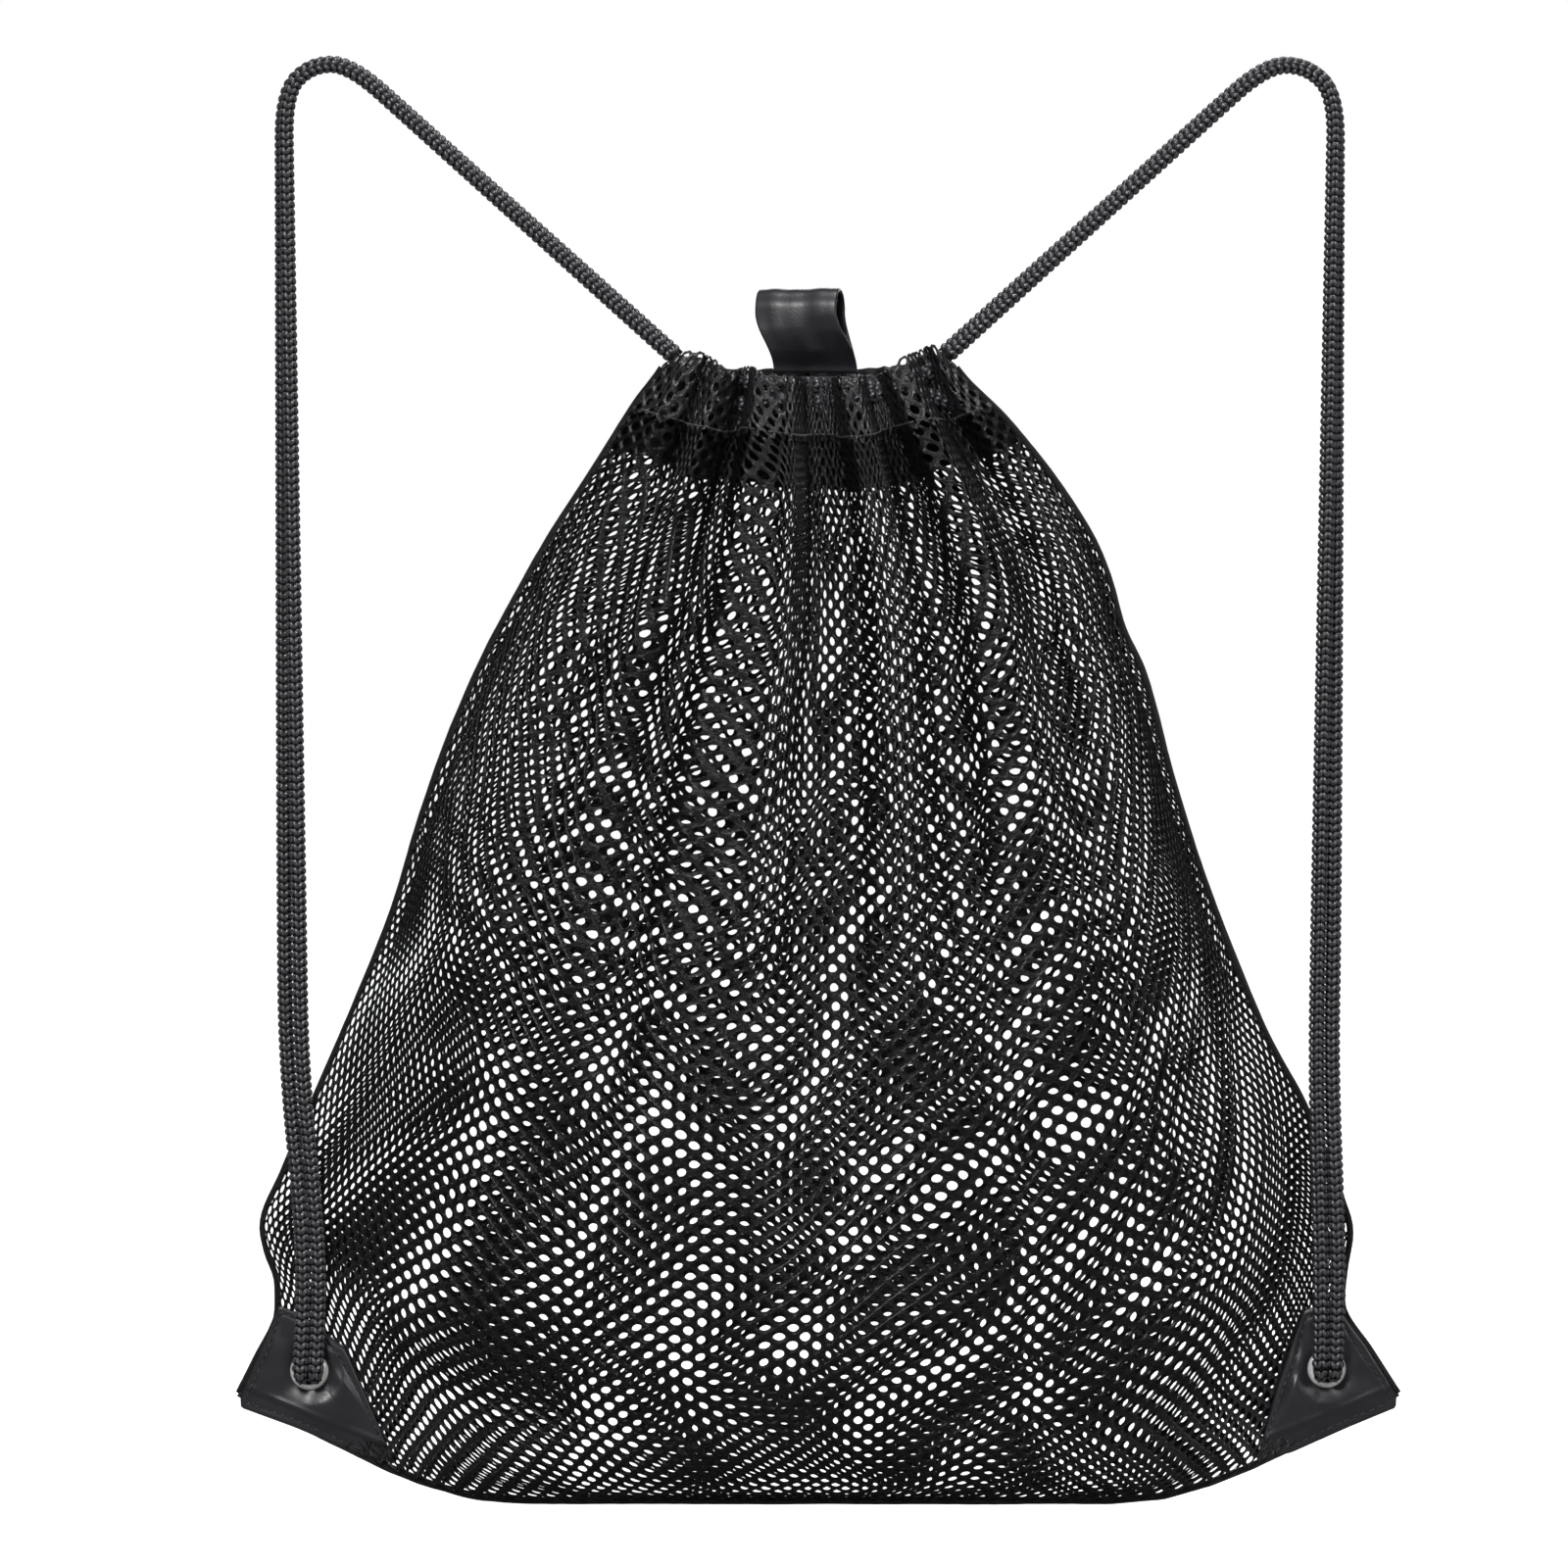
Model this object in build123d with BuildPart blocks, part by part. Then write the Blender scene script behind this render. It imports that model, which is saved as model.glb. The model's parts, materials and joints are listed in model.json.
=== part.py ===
from build123d import *
import math
import os

os.makedirs("parts", exist_ok=True)

# A mesh drawstring backpack for balls, filled out and hung by the two arches of its cord straps.
# Millimetres. +Z is up, +X is to the right as seen from the strap side, -Y is towards the wearer.
# The origin is on the level line that both arches hang on, between them.

cord_diameter = 5.0
panel_wall = 1.2  # the knit mesh and the slack folds that stand in it
flange_skin = 1.0  # one layer, pressed flat along the edges and in the corners
seam_width = 1.4
seam_half_thickness = 1.2
patch_thickness = 1.3
strap_leather = 1.6

# The filled bag, from the casing down: height, left edge, right edge, depth of the front and of the
# back bulge, and the width of the flat flange at the left and the right edge.
bag_levels = [
    (-120, -60, 56, 26, 26, 4, 4),
    (-140, -79, 80, 33, 32, 4, 4),
    (-165, -95, 97, 39, 37, 4, 4),
    (-205, -117, 111, 48, 44, 4, 4),
    (-260, -136, 127, 60, 54, 4, 4),
    (-320, -159, 149, 69, 61, 5, 5),
    (-360, -176, 168, 72, 64, 6, 6),
    (-394, -189, 181, 72, 64, 8, 8),
    (-418, -184, 178, 68, 61, 13, 17),
    (-450, -197, 197, 56, 52, 49, 43),
    (-455, -197, 197, 52, 48, 47, 42),
    (-470, -157, 162, 40, 38, 15, 15),
    (-480, -130, 140, 27, 27, 5, 5),
    (-486, -112, 100, 14, 14, 4, 4),
]
bag_top = bag_levels[0][0]
bag_bottom = bag_levels[-1][0]
shoulder_run = 0.2  # of the width, from the flange to the round of the bulge
shoulder_depth = 0.33  # of the bulge's depth
room_edge = 2  # how far the room inside stops short of the flange's edge
room_flange = 4  # and of the flange's inner end
room_half_gap = 0.2  # between the layers there, opening to three times that at the flange's end

# The gathered mouth: two casings, bowed apart, with a tunnel in each for both cords.
mouth_middle = -3
casing_half_length = 49
casing_top = -96
casing_dip = -103
casing_dip_half_width = 20
tunnel_floor = -118
tunnel_roof = -104
tunnel_mouth_roof = -98
tunnel_mouth_length = 25
tunnel_mouth_floor = -109
tunnel_mouth_flare = 15
casing_outer_depths = (14.5, 27)  # of the casing's outer face, at its ends and at its middle
casing_inner_depths = (1.2, 8.5)
tunnel_outer_depths = (10.5, 24)
tunnel_inner_depths = (1.9, 10.3)
tunnel_overrun = 6
tunnel_end_room = 0.2
dip_slope_run = 4
slant_length = 12  # of the cut at the casing's upper corners
slant_depth = 12.3
notch_middle = 7.3  # the open notch where the cords go into the tunnels
notch_width = 11.4
over_cut = 1

# Where the straps' hinge lines start and end: in front of the eyelets, and at the tunnel mouths.
left_mouth = (-50, -95.6)
right_mouth = (44, -95.6)
left_eyelet_centre = (-173, -441.7)
right_eyelet_centre = (172.7, -441)
cut_half_depth = 40

eyelet_bore = 4.4
eyelet_barrel = 5.1
eyelet_flange = 6.5
eyelet_dome = 1.3
washer_thickness = 0.85
patch_face = flange_skin + patch_thickness

loop_width = 29
loop_height = 28
loop_middle = (-1, 6.1, -101.4)
tab_height = 14
loop_bend_room = 1.8  # between the tab and the loop's foot, so that the loop can tip over


def save(piece, name):
    piece.part.label = name
    export_step(piece.part, f"parts/{name}.step")


# Panels


def half_width_curve(level, inset, side):
    """One panel's curve at one level, from its left edge to its right edge."""
    z, left, right, front, back, left_flange, right_flange = level
    depth = (front if side < 0 else back) - inset
    run = shoulder_run * (right - left)
    shoulder = shoulder_depth * (front if side < 0 else back) - inset
    if inset == 0:
        edge, turn = (0, 0), (left_flange, right_flange)
        edge_depth = turn_depth = flange_skin
    else:
        edge = (left_flange + room_edge, right_flange + room_edge)
        turn = (left_flange + room_flange, right_flange + room_flange)
        edge_depth, turn_depth = room_half_gap, 3 * room_half_gap
    return [
        (left + edge[0], side * edge_depth),
        (left + turn[0], side * turn_depth),
        (left + left_flange + run, side * shoulder),
        ((left + right) / 2, side * depth),
        (right - right_flange - run, side * shoulder),
        (right - turn[1], side * turn_depth),
        (right - edge[1], side * edge_depth),
    ]


def level_outline(level, inset):
    """The closed outline of the filled bag at one level, or of the room inside it."""
    front = half_width_curve(level, inset, -1)
    back = half_width_curve(level, inset, 1)
    with BuildSketch(Plane.XY.offset(level[0])) as outline:
        with BuildLine():
            for curve in (front, back):
                Polyline(curve[0], curve[1], curve[2])
                ThreePointArc(curve[2], curve[3], curve[4])
                Polyline(curve[4], curve[5], curve[6])
            Line(front[0], back[0])
            Line(front[6], back[6])
        make_face()
    return outline.sketch


room_levels = [(bag_top + 2, *bag_levels[0][1:])] + bag_levels[:-1]
room_levels.append((bag_bottom + panel_wall, *bag_levels[-1][1:]))

with BuildPart() as bag_shell:
    for level in bag_levels:
        add(level_outline(level, 0))
    loft(ruled=True)

with BuildPart() as bag_room:
    for level in room_levels:
        add(level_outline(level, panel_wall))
    loft(ruled=True)

eyelet_centres = {"left": left_eyelet_centre, "right": right_eyelet_centre}

with BuildPart() as eyelet_holes:
    with BuildSketch(Plane.XZ):
        with Locations(*eyelet_centres.values()):
            Circle(eyelet_barrel)
    extrude(amount=patch_face + 1, both=True)

for name, keep in (("front_mesh_panel", Keep.TOP), ("back_mesh_panel", Keep.BOTTOM)):
    with BuildPart() as panel:
        add(bag_shell.part)
        add(bag_room.part, mode=Mode.SUBTRACT)
        add(eyelet_holes.part, mode=Mode.SUBTRACT)
        split(bisect_by=Plane.XZ, keep=keep)
    save(panel, name)

# Seams: a rolled edge outside each side of the panels, and one below them


def seam(points, outside):
    with BuildPart() as edge:
        with BuildSketch(Plane.XZ):
            with BuildLine():
                Polyline(*points)
                offset(amount=seam_width, side=outside, closed=True)
            make_face()
        extrude(amount=seam_half_thickness, both=True)
    return edge


tip_level = [level[0] for level in bag_levels].index(-450)
left_side = [(level[1], level[0]) for level in bag_levels[: tip_level + 1]]
right_side = [(level[2], level[0]) for level in bag_levels[: tip_level + 1]]
left_bottom = [(level[1], level[0]) for level in bag_levels[tip_level + 1 :]]
right_bottom = [(level[2], level[0]) for level in bag_levels[tip_level + 1 :]]

save(seam(left_side, Side.RIGHT), "left_side_seam")
save(seam(right_side, Side.LEFT), "right_side_seam")
save(seam(left_bottom + right_bottom[::-1], Side.RIGHT), "bottom_seam")

# Corner patches, front and back, on the flat of each corner

patch_outlines = {
    "left": [(-183, -420), (-161, -434), (-145, -472), (-156, -468.5), (-196, -454), (-196, -450)],
    "right": [(176, -420), (165, -421), (150, -471), (160, -468.5), (196, -454), (196, -450)],
}

for side, outline in patch_outlines.items():
    for face, sign in (("front", -1), ("back", 1)):
        with BuildPart() as patch:
            with BuildSketch(Plane.XZ.offset(-sign * flange_skin)):
                with BuildLine():
                    Polyline(*outline, close=True)
                make_face()
            extrude(amount=-sign * patch_thickness)
            add(eyelet_holes.part, mode=Mode.SUBTRACT)
        save(patch, f"{side}_{face}_corner_patch")

# Eyelets: a domed barrel set from the front, curled over a flat washer at the back

for side, (x, z) in eyelet_centres.items():
    axis = Axis((x, 0, z), (0, 1, 0))
    profile = Plane(origin=(x, 0, z), x_dir=(1, 0, 0), z_dir=(0, 0, 1))
    curl = patch_face + washer_thickness
    with BuildPart() as eyelet:
        with BuildSketch(profile):
            with BuildLine():
                Polyline(
                    (eyelet_bore + 0.4, -patch_face - eyelet_dome),
                    (eyelet_bore, -patch_face - 0.8),
                    (eyelet_bore, curl + 0.4),
                    (eyelet_bore + 0.4, curl + 0.8),
                    (eyelet_barrel + 0.9, curl + 0.7),
                    (eyelet_barrel + 1.1, curl),
                    (eyelet_barrel, curl),
                    (eyelet_barrel, -patch_face),
                    (eyelet_flange, -patch_face),
                    (eyelet_flange, -patch_face - 0.3),
                )
                ThreePointArc(
                    (eyelet_flange, -patch_face - 0.3),
                    (eyelet_flange - 0.8, -patch_face - 1.1),
                    (eyelet_bore + 0.4, -patch_face - eyelet_dome),
                )
            make_face()
        revolve(axis=axis)
    save(eyelet, f"{side}_eyelet")

    with BuildPart() as washer:
        with BuildSketch(Plane.XZ.offset(-patch_face)):
            with Locations((x, z)):
                Circle(eyelet_flange + 0.3)
                Circle(eyelet_barrel, mode=Mode.SUBTRACT)
        extrude(amount=-washer_thickness)
    save(washer, f"{side}_eyelet_washer")

# Knots: the two ends of each cord, squeezed together through the eyelet and tied behind it

neck_radius = 4.1
neck_front = -3.1
knot_front = 4.2
knot_length = 12.5
knot_radius = 7.2
tail_length = 15

for side, (x, z) in eyelet_centres.items():
    profile = Plane(origin=(x, 0, z), x_dir=(1, 0, 0), z_dir=(0, 0, 1))
    knot_back = knot_front + knot_length
    with BuildPart() as knot:
        with BuildSketch(profile):
            with BuildLine():
                Polyline(
                    (0, knot_back - 1),
                    (0, neck_front),
                    (neck_radius, neck_front),
                    (neck_radius, knot_front),
                    (knot_radius - 2.5, knot_front),
                )
                ThreePointArc(
                    (knot_radius - 2.5, knot_front),
                    (knot_radius, knot_front + knot_length / 2),
                    (knot_radius - 3, knot_back - 1),
                )
                Line((knot_radius - 3, knot_back - 1), (0, knot_back - 1))
            make_face()
        revolve(axis=Axis((x, 0, z), (0, 1, 0)))
    save(knot, f"{side}_cord_knot")

    with BuildPart() as tails:
        for lean in (-1, 1):
            tail = Plane(
                origin=(x + 3 * lean, knot_front + knot_length / 2, z - knot_radius - 0.1),
                z_dir=(0.35 * lean, 0.15, -1),
            )
            with BuildSketch(tail):
                Circle(cord_diameter / 2 - 0.2)
            extrude(amount=tail_length)
    save(tails, f"{side}_cord_tails")

# Casings


def casing_plan(start, end, outer_depths, inner_depths, sign):
    """The plan of a casing or its tunnel, bowed outwards between start and end."""
    outer_end, outer_middle = outer_depths
    inner_end, inner_middle = inner_depths
    with BuildSketch() as plan:
        with BuildLine():
            ThreePointArc((start, sign * outer_end), (mouth_middle, sign * outer_middle), (end, sign * outer_end))
            Line((end, sign * outer_end), (end, sign * inner_end))
            ThreePointArc((end, sign * inner_end), (mouth_middle, sign * inner_middle), (start, sign * inner_end))
            Line((start, sign * inner_end), (start, sign * outer_end))
        make_face()
    return plan.sketch


for name, sign in (("front_casing", -1), ("back_casing", 1)):
    start = mouth_middle - casing_half_length
    end = mouth_middle + casing_half_length
    outside_end = casing_half_length + over_cut
    with BuildPart() as casing:
        with BuildSketch(Plane.XY.offset(bag_top)):
            add(casing_plan(start, end, casing_outer_depths, casing_inner_depths, sign))
        extrude(amount=casing_top - bag_top)
        for low, high, first, last in (
            (tunnel_floor, tunnel_roof, start, end),
            (tunnel_floor, tunnel_mouth_roof, start, start + tunnel_mouth_length),
            (tunnel_floor, tunnel_mouth_roof, end - tunnel_mouth_length, end),
        ):
            with BuildSketch(Plane.XY.offset(low)):
                add(casing_plan(start - tunnel_overrun, end + tunnel_overrun, tunnel_outer_depths, tunnel_inner_depths, sign))
                with Locations(((first + last) / 2, 0)):
                    Rectangle(last - first + tunnel_end_room, 2 * cut_half_depth, mode=Mode.INTERSECT)
            extrude(amount=high - low, mode=Mode.SUBTRACT)
        with BuildSketch(Plane.XZ):
            with BuildLine():
                Polyline(
                    (mouth_middle - casing_dip_half_width - dip_slope_run, casing_top + over_cut),
                    (mouth_middle - casing_dip_half_width, casing_dip),
                    (mouth_middle + casing_dip_half_width, casing_dip),
                    (mouth_middle + casing_dip_half_width + dip_slope_run, casing_top + over_cut),
                    close=True,
                )
            make_face()
            for flip in (-1, 1):
                with BuildLine():
                    Polyline(
                        (mouth_middle + flip * (outside_end - slant_length), casing_top + over_cut),
                        (mouth_middle + flip * outside_end, casing_top - slant_depth),
                        (mouth_middle + flip * outside_end, casing_top + over_cut),
                        close=True,
                    )
                make_face()
        extrude(amount=cut_half_depth, both=True, mode=Mode.SUBTRACT)
        with BuildSketch(Plane.XY.offset(tunnel_mouth_floor)):
            with Locations((start, sign * notch_middle), (end, sign * notch_middle)):
                Rectangle(2 * tunnel_mouth_flare, notch_width)
        extrude(amount=casing_top - tunnel_mouth_floor, mode=Mode.SUBTRACT)
    save(casing, name)

# Hang loop: a folded strap that stands on a tab sewn to the inside of the back casing

loop_x, loop_y, loop_z = loop_middle
# The back half of the loop's side outline: how far back, and how high above the foot
loop_bow = [(1.7, 0), (7, 13), (7.2, 22), (4, loop_height)]
loop_back_radius = 4

with BuildPart() as loop_tab:
    with BuildSketch(Plane.XY.offset(loop_z - tab_height)):
        with Locations((loop_x, loop_y)):
            Rectangle(loop_width, 2 * strap_leather)
    extrude(amount=tab_height - loop_bend_room)
save(loop_tab, "hang_loop_tab")

with BuildPart() as hang_loop:
    with BuildSketch(Plane.YZ.offset(loop_x - loop_width / 2)) as loop_side:
        with BuildLine():
            Polyline(
                *[(loop_y - out, loop_z + up) for out, up in loop_bow],
                *[(loop_y + out, loop_z + up) for out, up in loop_bow[::-1]],
                close=True,
            )
        make_face()
        fillet(loop_side.vertices().group_by(Axis.Y)[-1], loop_back_radius)
        offset(amount=-strap_leather, kind=Kind.INTERSECTION, mode=Mode.SUBTRACT)
    extrude(amount=loop_width)
save(hang_loop, "hang_loop")

# Cords. Each cord runs from its knot up through its eyelet, over the arch, through one casing, round
# at the far end, back through the other casing and over the arch again to the same knot.


def bend_radii(route):
    """The largest arc that the two runs at each corner have room for."""
    radii = []
    for before, corner, after in zip(route, route[1:], route[2:]):
        arriving = Vector(*corner) - Vector(*before)
        leaving = Vector(*after) - Vector(*corner)
        half_turn = math.radians(arriving.get_angle(leaving) / 2)
        room = min(arriving.length, leaving.length)
        radii.append(0.45 * room / math.tan(half_turn))
    return radii


def cord(route, name):
    radii = bend_radii(route)
    with BuildPart() as tube:
        with BuildLine() as path:
            FilletPolyline(*route, radius=radii)
        with BuildSketch(Plane(origin=path.line @ 0, z_dir=path.line % 0)):
            Circle(cord_diameter / 2)
        sweep(path=path.line)
    length = path.wire().length
    share = tube.part.volume / (math.pi * cord_diameter**2 / 4 * length)
    rounded = [round(radius, 1) for radius in radii]
    print(f"{name}: length {length:.1f}, volume share {share:.3f}, radii {rounded}")
    save(tube, name)


free_strands = {
    "left_front_strand": [
        (-170.6, -9.2, -441.7),
        (-168.9, -9.8, -416),
        (-170.2, -10, -386),
        (-175.4, -8.6, -338),
        (-181.2, -2.8, -7.5),
        (-172.5, -2.8, 1.8),
        (-159.5, -2.8, 2.2),
        (-50.5, -3, -96.1),
    ],
    "left_back_strand": [
        (-175.8, -9.2, -441.7),
        (-174.3, -9.8, -415),
        (-175.9, -9.8, -386),
        (-181.2, -6, -338),
        (-182.4, 2.8, -7.1),
        (-172.9, 2.8, 2.7),
        (-159.1, 2.8, 3.1),
        (-49.5, 3, -95.1),
    ],
    "right_front_strand": [
        (170.1, -9.2, -441),
        (170.5, -9.8, -415),
        (169.8, -10, -386),
        (168.2, -8.6, -338),
        (175.7, -2.8, -8.2),
        (166.2, -2.8, 1.6),
        (152.5, -2.8, 2),
        (44.5, -3, -96.1),
    ],
    "right_back_strand": [
        (175.3, -9.2, -441),
        (176.2, -9.8, -415),
        (175.5, -9.8, -386),
        (174.6, -6, -338),
        (176.6, 2.8, -7.8),
        (166.6, 2.8, 2.5),
        (152.2, 2.8, 2.9),
        (43.5, 3, -95.1),
    ],
}

for name, route in free_strands.items():
    cord(route, name)

# The same two cords inside the casings, as distances from the middle of the mouth: the left cord
# runs on the inner side of the tunnels, the right cord on the outer side, and they cross halfway.

casing_runs = {
    "left_cord_in_casings": (1, [
        (-42.6, -4.6, -99.9),
        (-37, -9, -105),
        (-20, -13, -108),
        (0, -14.2, -110.2),
        (20, -13.2, -112),
        (38, -10.3, -113.8),
        (53, -7.8, -114.2),
    ]),
    "right_cord_in_casings": (-1, [
        (-42.6, -4.6, -99.9),
        (-37, -10.5, -105),
        (-20, -18, -108),
        (0, -20, -110.2),
        (20, -18.2, -112),
        (38, -12.6, -113.8),
        (52.2, -7.4, -114.2),
    ]),
}

for name, (flip, run) in casing_runs.items():
    front_run = [(mouth_middle + flip * x, y, z) for x, y, z in run]
    back_run = [(x, -y, z) for x, y, z in front_run[::-1]]
    cord(front_run + back_run, name)
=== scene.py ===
import bpy, bmesh, json, math
import numpy as np
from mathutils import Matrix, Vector

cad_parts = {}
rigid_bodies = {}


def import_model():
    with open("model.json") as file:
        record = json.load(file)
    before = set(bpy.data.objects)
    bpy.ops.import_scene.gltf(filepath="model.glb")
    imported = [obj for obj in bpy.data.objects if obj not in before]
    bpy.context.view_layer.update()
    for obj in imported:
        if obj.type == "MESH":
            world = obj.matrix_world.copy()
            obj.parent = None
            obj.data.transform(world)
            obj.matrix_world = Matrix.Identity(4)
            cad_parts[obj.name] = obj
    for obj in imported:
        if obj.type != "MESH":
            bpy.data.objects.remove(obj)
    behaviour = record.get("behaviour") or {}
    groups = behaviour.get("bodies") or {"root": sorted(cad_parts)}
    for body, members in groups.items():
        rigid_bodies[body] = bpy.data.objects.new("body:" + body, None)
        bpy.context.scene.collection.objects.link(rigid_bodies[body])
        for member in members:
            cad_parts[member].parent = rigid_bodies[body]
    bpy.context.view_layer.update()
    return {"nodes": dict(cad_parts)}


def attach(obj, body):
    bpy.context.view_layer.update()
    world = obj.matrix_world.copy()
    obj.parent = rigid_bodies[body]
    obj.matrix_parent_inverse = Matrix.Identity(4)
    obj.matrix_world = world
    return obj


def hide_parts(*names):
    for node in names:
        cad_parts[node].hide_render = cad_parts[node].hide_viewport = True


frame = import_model()
nodes = frame["nodes"]
print("stage: frame loaded,", len(nodes), "nodes")

millimetre = 0.001
scene = bpy.context.scene
scene.view_settings.view_transform = "Standard"
scene.view_settings.look = "None"
workCollection = bpy.data.collections.new("working")
scene.collection.children.link(workCollection)

cameraSet = {"away": 2.6, "lens": 175.5, "aimX": -0.0117, "aimZ": -0.2423}
lightSet = {
    "worldSeen": 1.0,
    "worldLight": 0.09,
    "floorGlow": 1.05,
    "floorLevel": -0.4885,
    "floorReach": 14,
    "areas": [
        # name, place, aim, size, power
        ("keyLight", (-0.5, -1.9, 0.95), (0.0, 0.0, -0.25), 0.5, 30),
        ("fillLight", (1.4, -1.3, 0.35), (0.0, 0.0, -0.25), 0.6, 6),
        ("topLight", (0.1, -0.3, 1.4), (0.0, 0.0, -0.2), 0.7, 14),
        ("backLight", (0.3, 1.9, 0.5), (0.0, 0.0, -0.2), 1.2, 12),
    ],
}


def addObject(name, data, hidden=False):
    thing = bpy.data.objects.new(name, data)
    (workCollection if hidden else scene.collection).objects.link(thing)
    return thing


def feed(tree, socket, value):
    # another node's output is linked to the socket, anything else becomes its value
    if isinstance(value, bpy.types.NodeSocket):
        tree.links.new(value, socket)
    else:
        socket.default_value = value


def addNode(tree, kind, inputs=None, **settings):
    made = tree.nodes.new(kind)
    for label, value in settings.items():
        setattr(made, label, value)
    for label, value in (inputs or {}).items():
        feed(tree, made.inputs[label], value)
    return made.outputs


def addMath(tree, operation, *values):
    return addNode(tree, "ShaderNodeMath", dict(enumerate(values)), operation=operation)[0]


def addSockets(group, inputs, outputs):
    for label, kind, *value in inputs:
        socket = group.interface.new_socket(label, in_out="INPUT", socket_type="NodeSocket" + kind)
        if value:
            socket.default_value = value[0]
    for label, kind in outputs:
        group.interface.new_socket(label, in_out="OUTPUT", socket_type="NodeSocket" + kind)
    return group.nodes.new("NodeGroupInput").outputs, group.nodes.new("NodeGroupOutput").inputs


def spreadNode(tree, source, low, high, newLow, newHigh):
    limits = {"Value": source, "From Min": low, "From Max": high, "To Min": newLow, "To Max": newHigh}
    return addNode(tree, "ShaderNodeMapRange", limits)[0]


def newMaterial(name, colour, roughness, metallic=0.0):
    material = bpy.data.materials.new(name)
    material.use_nodes = True
    shader = material.node_tree.nodes["Principled BSDF"]
    shader.inputs["Base Color"].default_value = (*colour, 1)
    shader.inputs["Roughness"].default_value = roughness
    shader.inputs["Metallic"].default_value = metallic
    return material, material.node_tree, shader


def setCamera():
    data = bpy.data.cameras.new("camera")
    camera = addObject("camera", data)
    data.lens = cameraSet["lens"]
    data.sensor_width = 36
    data.clip_end = 100
    camera.location = (cameraSet["aimX"], -cameraSet["away"], cameraSet["aimZ"])
    camera.rotation_euler = (math.pi / 2, 0, 0)
    scene.camera = camera


def setStudio():
    world = bpy.data.worlds.new("studio")
    scene.world = world
    world.use_nodes = True
    background = world.node_tree.nodes["Background"]
    background.inputs["Color"].default_value = (1, 1, 1, 1)
    # the backdrop reads as white paper, but lights the black cloth only softly
    seen = addNode(world.node_tree, "ShaderNodeLightPath")["Is Camera Ray"]
    strength = spreadNode(world.node_tree, seen, 0, 1, lightSet["worldLight"], lightSet["worldSeen"])
    world.node_tree.links.new(strength, background.inputs["Strength"])
    for name, place, aim, size, power in lightSet["areas"]:
        data = bpy.data.lights.new(name, "AREA")
        data.shape = "DISK"
        data.size = size
        data.energy = power
        light = addObject(name, data)
        light.location = place
        light.rotation_euler = (Vector(aim) - Vector(place)).to_track_quat("-Z", "Y").to_euler()
    mesh = bpy.data.meshes.new("floor")
    far, level = lightSet["floorReach"], lightSet["floorLevel"]
    corners = [(-far, -far, level), (far, -far, level), (far, far, level), (-far, far, level)]
    mesh.from_pydata(corners, [], [(0, 1, 2, 3)])
    floor = addObject("floor", mesh)
    paper, tree, shader = newMaterial("floorPaper", (0.3, 0.3, 0.3), 0.5)
    shader.inputs["Specular IOR Level"].default_value = 0.25
    shader.inputs["Emission Color"].default_value = (1, 1, 1, 1)
    seen = addNode(tree, "ShaderNodeLightPath")["Is Camera Ray"]
    feed(tree, shader.inputs["Emission Strength"], addMath(tree, "MULTIPLY", seen, lightSet["floorGlow"]))
    floor.data.materials.append(paper)


def newGroup(name, inputs, outputs):
    group = bpy.data.node_groups.new(name, "ShaderNodeTree")
    return group, *addSockets(group, inputs, outputs)


def yarnGroup():
    # fine filaments that run across a yarn, with worn light and dark patches
    group, given, result = newGroup(
        "yarnFilaments",
        [("Place", "Vector"), ("Scale", "Float", 1.0), ("Twist", "Float", 0.35)],
        [("Height", "Float"), ("Shade", "Float")],
    )
    size = {0: given["Place"], "Scale": given["Scale"]}
    scaled = addNode(group, "ShaderNodeVectorMath", size, operation="SCALE")[0]
    along, across, _ = addNode(group, "ShaderNodeSeparateXYZ", {0: scaled})
    wobble = addNode(group, "ShaderNodeTexNoise", {"Scale": 1.3, "Detail": 2, "Vector": scaled})[0]
    leaning = addMath(group, "ADD", across, addMath(group, "MULTIPLY", along, given["Twist"]))
    bent = addMath(group, "ADD", leaning, addMath(group, "MULTIPLY", wobble, 0.5))
    feed(group, result["Height"], addMath(group, "SINE", addMath(group, "MULTIPLY", bent, math.tau)))
    feed(group, result["Shade"], wobble)
    return group


def grainGroup():
    # pebbled coating of faux leather, with fine pores and soft rubbed areas
    group, given, result = newGroup(
        "leatherGrain",
        [("Place", "Vector"), ("Pebble", "Float", 900.0)],
        [("Height", "Float"), ("Rubbed", "Float")],
    )
    place, pebble = given["Place"], given["Pebble"]
    bumps = addNode(group, "ShaderNodeTexVoronoi", {"Vector": place, "Scale": pebble}, feature="SMOOTH_F1")
    pore = addMath(group, "MULTIPLY", pebble, 1.7)
    pores = addNode(group, "ShaderNodeTexNoise", {"Detail": 3, "Vector": place, "Scale": pore})[0]
    tall = addMath(group, "MULTIPLY", bumps["Distance"], 0.8)
    feed(group, result["Height"], addMath(group, "ADD", tall, addMath(group, "MULTIPLY", pores, 0.5)))
    broad = addNode(group, "ShaderNodeTexNoise", {"Detail": 4, "Vector": place, "Scale": 70})[0]
    feed(group, result["Rubbed"], broad)
    return group


def paintWear(tree, shader, mask, stops, colours, span, roughness):
    # colour and roughness both follow one mask
    ramp = tree.nodes.new("ShaderNodeValToRGB")
    for element, position, colour in zip(ramp.color_ramp.elements, stops, colours):
        element.position = position
        element.color = (*colour, 1)
    tree.links.new(mask, ramp.inputs[0])
    tree.links.new(ramp.outputs[0], shader.inputs["Base Color"])
    if roughness:
        feed(tree, shader.inputs["Roughness"], spreadNode(tree, mask, *span, *roughness))


def paintBump(tree, shader, height, strength, distance):
    relief = {"Strength": strength, "Distance": distance, "Height": height}
    feed(tree, shader.inputs["Normal"], addNode(tree, "ShaderNodeBump", relief)[0])


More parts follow.
